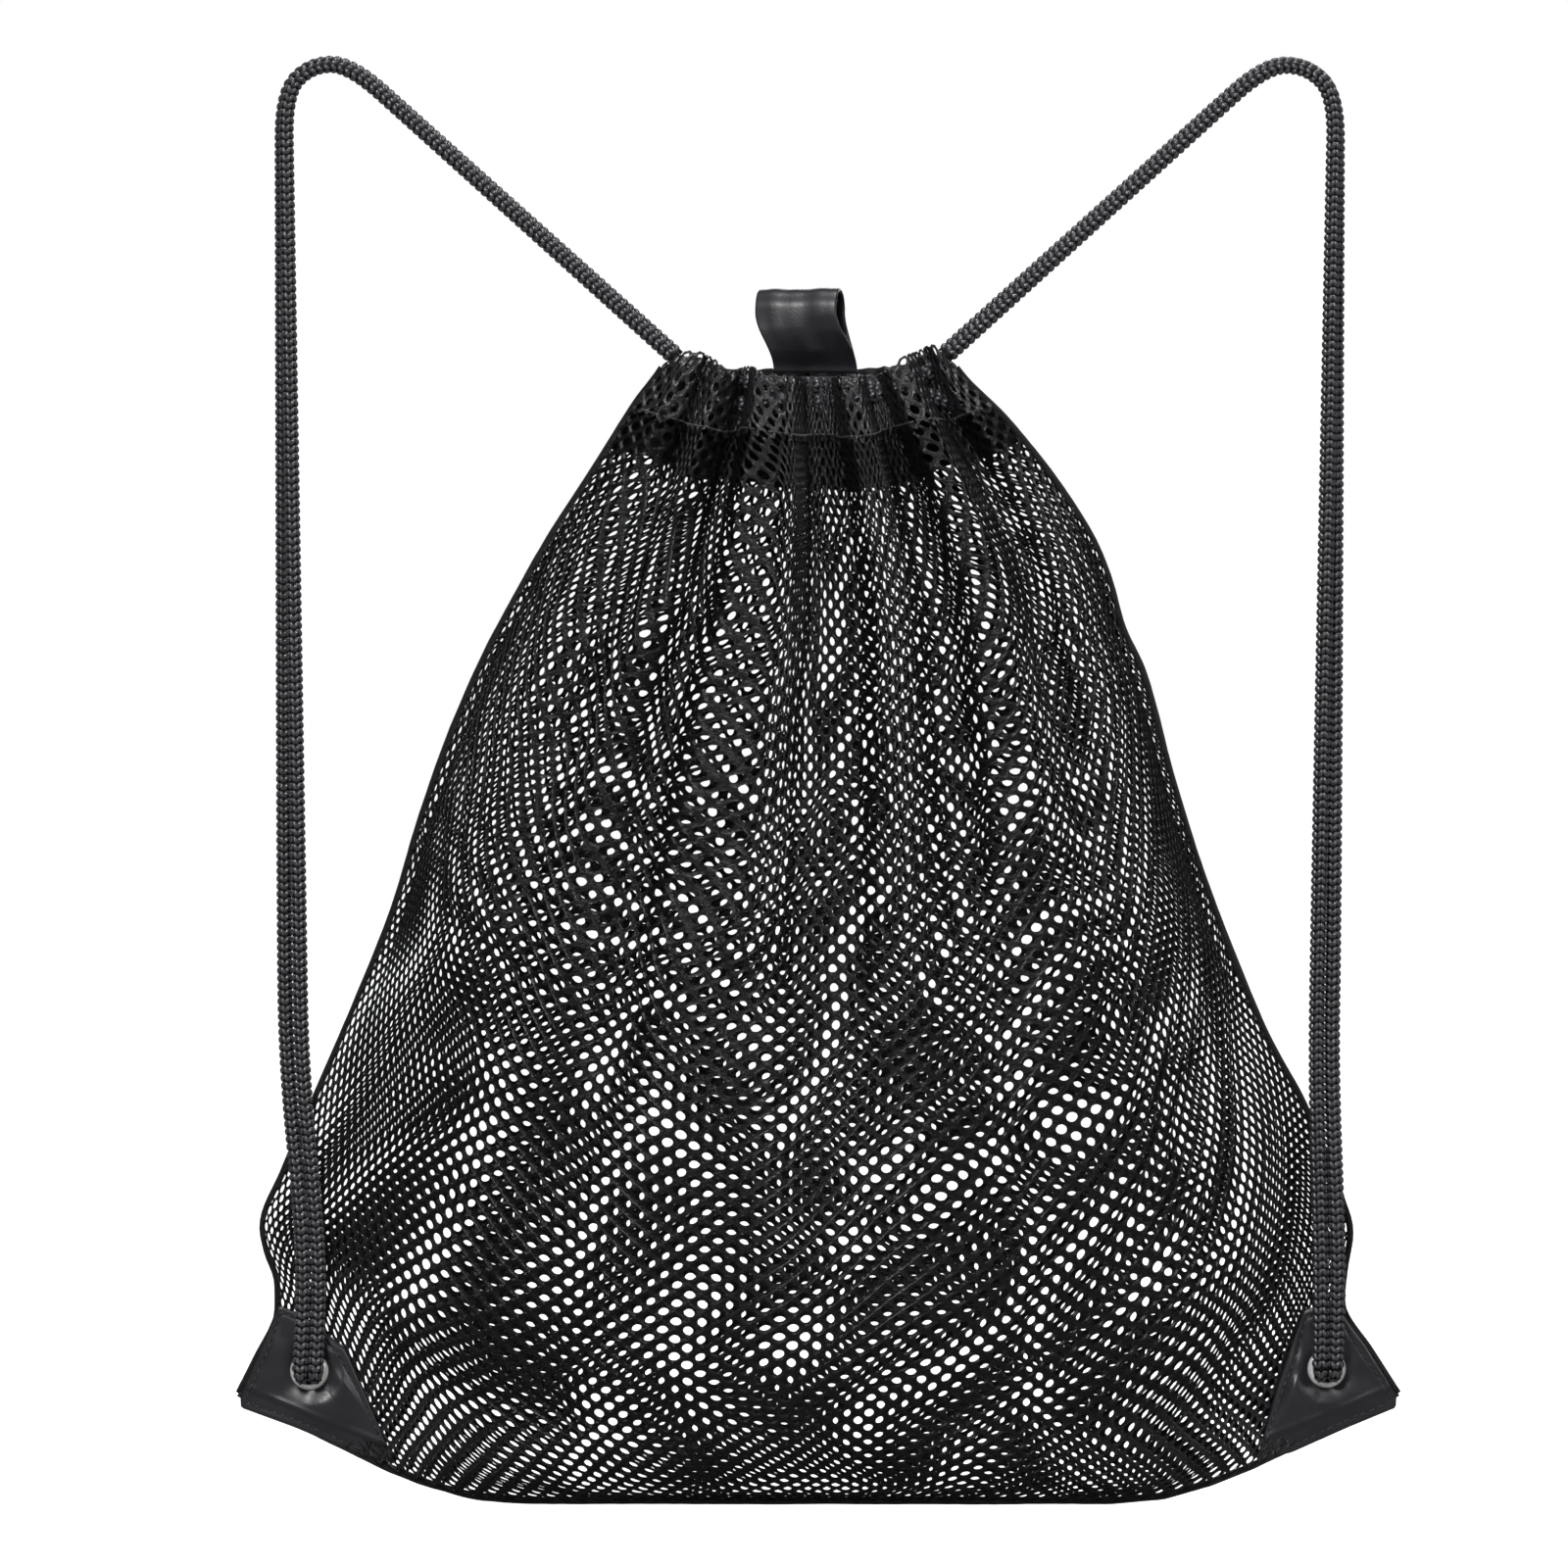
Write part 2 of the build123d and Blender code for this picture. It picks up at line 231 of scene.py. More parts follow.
def makeYarnMaterial(name, scale, colours, roughness, strength, distance, gloss=0.5):
    material, tree, shader = newMaterial(name, colours[0], roughness[0])
    place = addNode(tree, "ShaderNodeUVMap", uv_map="yarn")[0]
    yarn = addNode(tree, "ShaderNodeGroup", {"Place": place, "Scale": scale}, node_tree=yarnFilaments)
    paintWear(tree, shader, yarn["Shade"], (0.35, 0.7), colours, (0.3, 0.7), roughness)
    paintBump(tree, shader, yarn["Height"], strength, distance)
    shader.inputs["Specular IOR Level"].default_value = gloss
    return material


def makeLeatherMaterial(name, colours, roughness, pebble):
    material, tree, shader = newMaterial(name, colours[0], roughness[0])
    place = addNode(tree, "ShaderNodeTexCoord")["Object"]
    grain = addNode(tree, "ShaderNodeGroup", {"Place": place, "Pebble": pebble}, node_tree=leatherGrain)
    paintWear(tree, shader, grain["Rubbed"], (0.3, 0.75), colours, (0.3, 0.7), roughness)
    paintBump(tree, shader, grain["Height"], 0.35, 0.00012)
    shader.inputs["Coat Weight"].default_value = 0.35
    shader.inputs["Coat Roughness"].default_value = 0.3
    return material


def makeBandMaterial(name, warpGap=0.55, weftGap=0.7):
    # plain weave, its ribs warpGap and weftGap millimetres apart on the flat panel
    material, tree, shader = newMaterial(name, (0.006, 0.006, 0.007), 0.75)
    place = addNode(tree, "ShaderNodeUVMap", uv_map="cloth")[0]
    across, down, _ = addNode(tree, "ShaderNodeSeparateXYZ", {0: place})
    warp = addMath(tree, "SINE", addMath(tree, "MULTIPLY", across, math.tau / warpGap * 406))
    weft = addMath(tree, "SINE", addMath(tree, "MULTIPLY", down, math.tau / weftGap * 430))
    paintBump(tree, shader, addMath(tree, "MULTIPLY", warp, weft), 0.5, 0.00015)
    noise = addNode(tree, "ShaderNodeTexNoise", {"Scale": 14, "Vector": place})[0]
    paintWear(tree, shader, noise, (0.3, 0.7), [(0.004, 0.004, 0.005), (0.011, 0.011, 0.013)], None, None)
    return material


def makeNickelMaterial(name):
    material, tree, shader = newMaterial(name, (0.95, 0.94, 0.92), 0.36, 0.4)
    place = addNode(tree, "ShaderNodeTexCoord")["Object"]
    haze = addNode(tree, "ShaderNodeTexNoise", {"Scale": 420, "Detail": 5, "Vector": place})[0]
    bright = [(0.97, 0.96, 0.94), (0.88, 0.87, 0.85)]
    paintWear(tree, shader, haze, (0.3, 0.8), bright, (0.3, 0.75), (0.3, 0.46))
    paintBump(tree, shader, haze, 0.06, 0.0001)
    return material


yarnFilaments = yarnGroup()
leatherGrain = grainGroup()
knitBlack = makeYarnMaterial(
    "knitBlack", 5.0, [(0.002, 0.002, 0.0025), (0.006, 0.006, 0.0072)], (0.2, 0.3), 0.5, 0.0001, gloss=0.42,
)
# lighter copy of knitBlack for the front casing: its brighter colours are a painted highlight on the casing rolls
hemKnitPaintedHighlight = makeYarnMaterial(
    "hemKnitPaintedHighlight", 5.0, [(0.005, 0.005, 0.006), (0.022, 0.022, 0.026)], (0.2, 0.3), 0.5, 0.0001, gloss=0.9,
)
seamBlack = makeYarnMaterial(
    "seamBlack", 4.0, [(0.006, 0.006, 0.007), (0.018, 0.018, 0.02)], (0.5, 0.65), 0.6, 0.00012,
)
braidBlack = makeYarnMaterial(
    "braidBlack", 4.0, [(0.008, 0.008, 0.01), (0.11, 0.108, 0.125)], (0.16, 0.25), 0.3, 0.00006, gloss=1.0,
)
# the cord's black core, coloured darker than the plaits' darkest, is painted shade in the gaps between plaits
braidCoreGapShade = makeYarnMaterial(
    "braidCoreGapShade", 3.0, [(0.0015, 0.0015, 0.002), (0.004, 0.004, 0.005)], (0.6, 0.8), 0.3, 0.0001, gloss=0.2,
)
stitchBlack = makeYarnMaterial(
    "stitchBlack", 3.0, [(0.012, 0.012, 0.013), (0.045, 0.045, 0.05)], (0.3, 0.42), 0.5, 0.0001, gloss=0.8,
)
leatherBlack = makeLeatherMaterial("leatherBlack", [(0.009, 0.009, 0.012), (0.02, 0.02, 0.026)], (0.34, 0.46), 1500)
bandBlack = makeBandMaterial("bandBlack")
nickel = makeNickelMaterial("nickel")

setCamera()
setStudio()
print("stage: camera, light and finishes")


def meshObject(name, points, faces, uv=None, uvName="cloth", material=None, hidden=False):
    mesh = bpy.data.meshes.new(name)
    mesh.from_pydata([tuple(map(float, p)) for p in points], [], faces)
    if uv is not None:
        layer = mesh.uv_layers.new(name=uvName)
        loops = np.empty(len(mesh.loops), int)
        mesh.loops.foreach_get("vertex_index", loops)
        layer.data.foreach_set("uv", np.asarray(uv, np.float32)[loops].ravel())
    mesh.shade_smooth()
    if material is not None:
        mesh.materials.append(material)
    return addObject(name, mesh, hidden)


def gridFaces(rows, columns, flip=False):
    starts = [r * columns + c for r in range(rows - 1) for c in range(columns - 1)]
    faces = [(a, a + 1, a + columns + 1, a + columns) for a in starts]
    return [f[::-1] for f in faces] if flip else faces


def ringFaces(rings, count, caps=False):
    # quads between closed rings of points, and a face over each end
    faces = []
    for r in range(rings - 1):
        for k in range(count):
            n = (k + 1) % count
            faces.append((r * count + k, r * count + n, (r + 1) * count + n, (r + 1) * count + k))
    if caps:
        faces.append(tuple(range(count))[::-1])
        faces.append(tuple(range((rings - 1) * count, rings * count)))
    return faces


def fixNormals(thing, facing=0):
    # outwards, or for an open piece towards -y or y
    work = bmesh.new()
    work.from_mesh(thing.data)
    bmesh.ops.recalc_face_normals(work, faces=work.faces)
    if sum(f.normal.y for f in work.faces) * facing < 0:
        bmesh.ops.reverse_faces(work, faces=work.faces)
    work.to_mesh(thing.data)
    work.free()


def evenRun(points):
    # unit tangents of a line of points, and the way run along it
    tangent = np.gradient(points, axis=0)
    tangent /= np.linalg.norm(tangent, axis=1)[:, None]
    return tangent, np.r_[0, np.cumsum(np.linalg.norm(np.diff(points, axis=0), axis=1))]


def settle(thing, node, body):
    # which part it stands for, and what it moves with
    if node:
        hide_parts(node)
    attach(thing, body)


class treeMaker:
    # a few short words for building a geometry node tree
    def __init__(self, name, inputs):
        self.tree = bpy.data.node_groups.new(name, "GeometryNodeTree")
        shape = [("Geometry", "Geometry")]
        self.given, self.result = addSockets(self.tree, shape + inputs, shape)

    def node(self, kind, inputs=None, **settings):
        return addNode(self.tree, kind, inputs, **settings)

    def calc(self, operation, *values):
        return addMath(self.tree, operation, *values)

    def vector(self, operation, *values):
        second = "Scale" if operation == "SCALE" else 1
        return self.node("ShaderNodeVectorMath", dict(zip((0, second), values)), operation=operation)[0]

    def combine(self, x, y, z):
        return self.node("ShaderNodeCombineXYZ", {0: x, 1: y, 2: z})[0]

    def position(self):
        return self.node("ShaderNodeSeparateXYZ", {0: self.node("GeometryNodeInputPosition")[0]})

    def shapeOf(self, thing):
        return self.node("GeometryNodeObjectInfo", {"Object": thing}, transform_space="ORIGINAL")["Geometry"]

    def grid(self, across, down, wide, deep):
        # points across and down, a step wide and deep from each other
        return self.node("GeometryNodeMeshGrid", {
            "Size X": self.calc("MULTIPLY", self.calc("SUBTRACT", across, 1), wide),
            "Size Y": self.calc("MULTIPLY", self.calc("SUBTRACT", down, 1), deep),
            "Vertices X": across, "Vertices Y": down,
        })["Mesh"]

    def copies(self, points, thing, **turned):
        inputs = {"Points": points, "Instance": thing, **turned}
        return self.node("GeometryNodeInstanceOnPoints", inputs)[0]

    def joined(self, *shapes):
        join = self.tree.nodes.new("GeometryNodeJoinGeometry")
        for shape in shapes:
            self.tree.links.new(shape, join.inputs[0])
        return join.outputs[0]

    def solid(self, shape):
        return self.node("GeometryNodeRealizeInstances", {0: shape})[0]

    def moved(self, shape, place):
        return self.node("GeometryNodeSetPosition", {"Geometry": shape, "Position": place})[0]

    def painted(self, shape, material):
        return self.node("GeometryNodeSetMaterial", {"Geometry": shape, "Material": material})[0]

    def finish(self, shape):
        self.tree.links.new(shape, self.result["Geometry"])
        return self.tree


def runTree(tree, name, values):
    # a new object with the tree's result as its plain mesh
    holder = addObject(name + "Holder", bpy.data.meshes.new(name + "Holder"), hidden=True)
    modifier = holder.modifiers.new("shape", "NODES")
    modifier.node_group = tree
    for item in tree.interface.items_tree:
        if item.item_type == "SOCKET" and item.in_out == "INPUT" and item.name in values:
            modifier[item.identifier] = values[item.name]
    graph = bpy.context.evaluated_depsgraph_get()
    shaped = holder.evaluated_get(graph)
    mesh = bpy.data.meshes.new_from_object(shaped, preserve_all_data_layers=True, depsgraph=graph)
    mesh.name = name
    bpy.data.objects.remove(holder)
    mesh.shade_smooth()
    return addObject(name, mesh)


cordSet = {
    "diameter": 0.005,
    "columns": 8,  # of plaits around the cord
    "pitch": 0.0026,  # along the cord
    "plaitLength": 0.00295,
    "plaitWidth": 0.0018,
    "lean": 40,
    "coreRadius": 0.00228,
    "plaitRadius": 0.00251,
    "coreStep": 0.004,
    "coreSides": 12,
    "endGap": 0.0012,
}

# control points of each free strand, from the eyelet over the arch to the tunnel mouth
strandRoutes = {
    "left_front_strand": [
        (-170.6, -9.2, -441.7), (-168.9, -9.8, -416), (-170.5, -10, -386), (-175.4, -8.6, -338),
        (-176.2, -7.8, -290), (-180.7, -3.3, -37.5), (-181.2, -2.8, -7.5), (-172.5, -2.8, 1.8),
        (-159.5, -2.8, 2.2), (-137.2, -2.8, -17.9), (-48.6, -3, -97.8),
    ],
    "left_back_strand": [
        (-175.8, -9.2, -441.7), (-174.3, -9.8, -415), (-175.5, -9.8, -386), (-180.5, -6, -338),
        (-181.3, -4.7, -290), (-182.3, 2, -37.5), (-182.4, 2.8, -7.1), (-172.9, 2.8, 2.7), (-159.1, 2.8, 3.1),
        (-136.9, 2.8, -16.9), (-47.6, 3, -96.8),
    ],
    "right_front_strand": [
        (170.1, -9.2, -441), (170.5, -9.8, -415), (169.8, -10, -386), (168.8, -8.6, -338), (169.6, -7.8, -290),
        (175, -3.3, -38), (175.7, -2.8, -8.2), (166.2, -2.8, 1.6), (152.5, -2.8, 2), (130.2, -2.8, -18.1),
        (42.6, -3, -97.8),
    ],
    "right_back_strand": [
        (175.3, -9.2, -441), (176.2, -9.8, -415), (175.5, -9.8, -386), (173.9, -6, -338), (174.9, -4.7, -290),
        (176.4, 2, -37.8), (176.6, 2.8, -7.8), (166.6, 2.8, 2.5), (152.2, 2.8, 2.9), (129.9, 2.8, -17.2),
        (41.6, 3, -96.8),
    ],
}


def routeCurve(name, points):
    data = bpy.data.curves.new(name, "CURVE")
    data.dimensions = "3D"
    data.resolution_u = 24
    spline = data.splines.new("NURBS")
    spline.points.add(len(points) - 1)
    for point, place in zip(spline.points, points):
        point.co = (*[v * millimetre for v in place], 1)
    spline.order_u = 3
    spline.use_endpoint_u = True
    return addObject(name, data, hidden=True)


def routePoints(curve):
    graph = bpy.context.evaluated_depsgraph_get()
    line = bpy.data.meshes.new_from_object(curve.evaluated_get(graph), depsgraph=graph)
    points = [tuple(v.co) for v in line.vertices]
    bpy.data.meshes.remove(line)
    return points


def plaitTile():
    # one crowned plait, seen from above, lying along x; each row gives its share of the outline and height
    points = []
    count = 10
    for share, height in ((1.0, -0.0003), (0.7, 0.0002)):
        for k in range(count):
            c, s = math.cos(math.tau * k / count), math.sin(math.tau * k / count)
            x = math.copysign(abs(c) ** 0.8, c) * cordSet["plaitLength"] / 2 * share
            y = math.copysign(abs(s) ** 0.8, s) * cordSet["plaitWidth"] / 2 * share
            points.append((x, y, height))
    points.append((0, 0, 0.00048))
    faces = ringFaces(2, count) + [(count + k, count + (k + 1) % count, 2 * count) for k in range(count)]
    uv = [(1000 * x, 1000 * y) for x, y, _ in points]
    return meshObject("plaitTile", points, faces, uv, "yarn", hidden=True)


def braidTree():
    t = treeMaker("braidAlongRoute", [
        ("Route", "Object"), ("Plait", "Object"), ("Length", "Float", 0.6), ("Pitch", "Float", 0.0026),
        ("Columns", "Int", 8), ("Radius", "Float", 0.00225), ("Core Radius", "Float", 0.0021),
        ("Lean", "Float", 0.7), ("Plait Material", "Material"), ("Core Material", "Material"),
    ])
    given = t.given
    route, plait = t.shapeOf(given["Route"]), t.shapeOf(given["Plait"])
    rows = t.calc("FLOOR", t.calc("DIVIDE", given["Length"], given["Pitch"]))
    step = t.calc("DIVIDE", t.calc("MULTIPLY", given["Radius"], math.tau), given["Columns"])
    halfColumns = t.calc("DIVIDE", given["Columns"], 2)
    families = []
    for family, turn in ((0, 1), (1, -1)):
        grid = t.grid(rows, halfColumns, given["Pitch"], t.calc("MULTIPLY", step, 2))
        shift = t.combine(t.calc("DIVIDE", given["Length"], 2), t.calc("MULTIPLY", step, family), 0)
        placed = t.node("GeometryNodeTransform", {"Geometry": grid, "Translation": shift})[0]
        lean = t.combine(0, 0, t.calc("MULTIPLY", given["Lean"], turn))
        families.append(t.copies(placed, plait, Rotation=lean))
    flat = t.solid(t.joined(*families))
    x, y, z = t.position()
    along = t.node("GeometryNodeSampleCurve", {"Curves": route, "Length": x}, mode="LENGTH")
    angle = t.calc("DIVIDE", y, given["Radius"])
    sideways = t.vector("CROSS_PRODUCT", along["Tangent"], along["Normal"])
    ahead = t.vector("SCALE", along["Normal"], t.calc("COSINE", angle))
    outward = t.vector("ADD", ahead, t.vector("SCALE", sideways, t.calc("SINE", angle)))
    lift = t.vector("SCALE", outward, t.calc("ADD", given["Radius"], z))
    wrapped = t.moved(flat, t.vector("ADD", along["Position"], lift))
    steps = {"Curve": route, "Length": cordSet["coreStep"]}
    line = t.node("GeometryNodeResampleCurve", steps, mode="LENGTH")[0]
    sides = {"Resolution": cordSet["coreSides"], "Radius": given["Core Radius"]}
    ring = t.node("GeometryNodeCurvePrimitiveCircle", sides)[0]
    core = t.node("GeometryNodeCurveToMesh", {"Curve": line, "Profile Curve": ring, "Fill Caps": True})[0]
    return t.finish(t.joined(
        t.painted(wrapped, given["Plait Material"]), t.painted(core, given["Core Material"]),
    ))


plait = plaitTile()
braid = braidTree()


def pathLength(points):
    return sum((Vector(b) - Vector(a)).length for a, b in zip(points, points[1:]))


def braidedCord(name, points, squeeze=1.0):
    curve = routeCurve(name + "Route", points)
    path = routePoints(curve)
    length = pathLength(path)
    made = runTree(braid, name, {
        "Route": curve, "Plait": plait, "Length": length - cordSet["endGap"], "Pitch": cordSet["pitch"],
        "Columns": cordSet["columns"], "Radius": cordSet["plaitRadius"] * squeeze,
        "Core Radius": cordSet["coreRadius"] * squeeze, "Lean": math.radians(cordSet["lean"]),
        "Plait Material": braidBlack, "Core Material": braidCoreGapShade,
    })
    bpy.data.objects.remove(curve)
    return made, path, length


for strandName, points in strandRoutes.items():
    strand, path, length = braidedCord(strandName.replace("_strand", "_braid"), points)
    settle(strand, strandName, "left_straps" if strandName.startswith("left") else "right_straps")
    print("stage: cord", strandName, round(length, 4), len(strand.data.polygons))

bagSet = {
    "mouthMiddle": -3.0,
    "hemShare": 0.053,  # of a panel's depth, taken up by the casing
    "columns": 200,
    "rows": 150,
    "cornerX": 197.5,
    "cornerHeight": -454,
    "middleFrom": -103,  # heights of the cloth's middle line
    "middleTo": -486,
    "foldPower": 0.6,  # lower is rounder
    # edges of the bag as it hangs, from the end of the casing to the corner
    "leftEdge": [
        (-51.5, -97), (-56, -104), (-60.5, -110), (-75, -133), (-91.7, -159), (-118.3, -209), (-134, -250),
        (-145, -286), (-158, -318), (-171.3, -349), (-182, -374), (-189.3, -393), (-187.5, -402), (-184, -412),
        (-184, -421), (-190.5, -436), (-197.5, -450),
    ],
    "rightEdge": [
        (45, -97), (51, -105), (65, -119.5), (83.7, -143.5), (95, -162), (99.5, -174), (103.5, -189),
        (110, -203), (120, -239), (131.7, -276), (151.7, -326), (166, -353), (177.5, -382), (181, -395),
        (179, -407), (178, -418), (188, -435), (197.5, -450),
    ],
    # height of the lower edge against distance from the middle
    "lowerEdge": [(0, -486), (100, -486), (118, -484.6), (134, -480.6), (147, -476), (172, -465.5), (197.5, -454)],
    "backTopEdge": [
        (-51.5, -98), (-42, -95), (-30, -99.5), (-20, -100.2), (0, -100.3), (20, -100.2), (30, -98),
        (38, -93.5), (45, -98),
    ],
    "topEdge": [
        (-51.5, -98), (-47, -95), (-42, -93.7), (-36, -96), (-30, -101.5), (-24, -99.6), (-18, -104),
        (0, -104.4), (18, -104), (23, -102.5), (28, -97.5), (34, -93.5), (38, -91.5), (41, -93.5), (45, -98),
    ],
    # height, depth of the front and the back, depth of the edges, flat flange, depth of the folds
    "levels": [
        (-92, 19, 17, 7, 0, 7.5), (-104, 20.5, 18.5, 6.4, 0, 9), (-120, 23.5, 21, 4.5, 0, 10.5),
        (-140, 29, 27, 2.2, 1, 11), (-165, 35, 33, 1.2, 2, 10), (-205, 44, 41, 1.1, 3, 9.5),
        (-260, 56, 51, 1.1, 3, 7.2), (-320, 66, 59, 1.1, 4, 4.2), (-360, 70, 62, 1.1, 6, 1.9),
        (-394, 69, 61, 1.1, 9, 1.2), (-418, 66, 58, 1.1, 16, 0.7), (-440, 58, 52, 1.1, 34, 0.5),
        (-455, 48, 44, 1.1, 46, 0.4), (-470, 36, 33, 1.1, 20, 0.3), (-480, 22, 20, 1.1, 8, 0.2),
        (-486.5, 1.1, 1.1, 1.1, 4, 0),
    ],
    # place across the mouth, depth of each crease, and height of the roll after it
    "frontCreases": [
        (0, 0.4, 1), (0.15, 0.6, 0.9), (0.265, 1, 0), (0.3, 1, 1), (0.39, -0.45, 1.05), (0.485, 1.1, 0),
        (0.575, 1.1, 1.05), (0.69, 1, 0), (0.735, 1, 1), (0.865, 0.9, 0), (0.895, 0.9, 1), (1, 0.4, 1),
    ],
    "backCreases": [
        (0, 0.4, 1), (0.12, 0.6, 1), (0.26, 0.9, 1), (0.37, 0.4, 1), (0.5, 1, 1), (0.62, 0.3, 1),
        (0.76, 0.9, 1), (0.87, 0.5, 1), (1, 0.4, 1),
    ],
    # place across, half width and density of the long gathers that hang from the mouth
    "gathers": [(0.185, 0.022, 2.2), (0.45, 0.026, 6), (0.635, 0.031, 6), (0.84, 0.024, 2.2)],
    # heights of the mouth before its crown, against distance from the middle
    "mouthLine": [(-51.5, -97), (-18, -103.5), (18, -103.5), (45, -97)],
    "crownFade": 0.035,
    # the next tables run from 0 at the mouth to 1 at the lower edge
    "bulge": [(0, 1.0), (0.15, 0.6), (0.5, 0.58), (0.62, 0.85), (0.78, 1.45)],
    "flankDown": [(0, 0), (0.1, 0.05), (0.25, 1), (0.75, 1), (0.9, 0.7), (1, 0.1)],
    "gatherDown": [(0, 0), (0.04, 0.1), (0.09, 1), (0.3, 0.9), (0.55, 0)],
    "wrinkle": 0.42,
    "flankRipple": 1.9,
    "creaseDense": 2.6,
    "flankDense": 3.6,
    "pull": 0.0035,
    "creep": 0.0028,
    "smoothings": 6,
}

def through(table, at, column=1):
    # smooth curve through a table's points, without overshoot
    xs = np.array([row[0] for row in table], float)
    ys = np.array([row[column] for row in table], float)
    if xs[0] > xs[-1]:
        xs, ys = xs[::-1], ys[::-1]
    run = np.diff(xs)
    slope = np.diff(ys) / run
    tangent = np.zeros_like(xs)
    same = slope[:-1] * slope[1:] > 0
    both = slope[:-1] + slope[1:]
    mean = 2 * slope[:-1] * slope[1:] / np.where(both == 0, 1, both)
    tangent[1:-1][same] = mean[same]
    tangent[0], tangent[-1] = slope[0], slope[-1]
    at = np.clip(np.asarray(at, float), xs[0], xs[-1])
    k = np.clip(np.searchsorted(xs, at, side="right") - 1, 0, len(xs) - 2)
    q = (at - xs[k]) / run[k]
    return ((1 + 2 * q) * (1 - q) ** 2 * ys[k] + q * (1 - q) ** 2 * run[k] * tangent[k]
            + q * q * (3 - 2 * q) * ys[k + 1] + q * q * (q - 1) * run[k] * tangent[k + 1])


def evenPath(points, count):
    # a polyline rounded a little, then cut at even steps
    p = np.array(points, float)
    d = np.r_[0, np.cumsum(np.linalg.norm(np.diff(p, axis=0), axis=1))]
    fine = np.linspace(0, d[-1], 600)
    q = np.stack([through(list(zip(d, p[:, k])), fine) for k in range(p.shape[1])], 1)
    kernel = np.hanning(15)
    kernel /= kernel.sum()
    padded = np.vstack([np.repeat(q[:1], 7, 0), q, np.repeat(q[-1:], 7, 0)])
    q = np.stack([np.convolve(padded[:, k], kernel, "valid") for k in range(q.shape[1])], 1)
    d = np.r_[0, np.cumsum(np.linalg.norm(np.diff(q, axis=0), axis=1))]
    at = np.linspace(0, d[-1], count)
    return np.stack([np.interp(at, d, q[:, k]) for k in range(q.shape[1])], 1)


def foldProfile(u, creases, soft):
    # rounded rolls between sharp creases, softer further down
    value = np.zeros_like(u)
    for (a, before, crest), (b, after, _) in zip(creases, creases[1:]):
        inside = (u >= a) & (u <= b)
        q = (u[inside] - a) / (b - a)
        foot = -(before * (1 - q) + after * q)
        rise = min(1.0, (b - a) / 0.11) ** 0.5 * crest if crest else foot
        value[inside] = foot + (rise - foot) * np.abs(np.sin(math.pi * q)) ** bagSet["foldPower"]
    width = int(3 + soft * 60) * 2 + 1
    kernel = np.hanning(width + 2)[1:-1]
    kernel /= kernel.sum()
    return np.convolve(np.pad(value, width // 2, mode="edge"), kernel, "valid")


def lookUp(table, at):
    return np.interp(at, *zip(*table))


def sumOfWaves(waves, a, b):
    return sum(size * np.sin(math.tau * (f * a + g * b) + phase) for f, g, phase, size in waves)


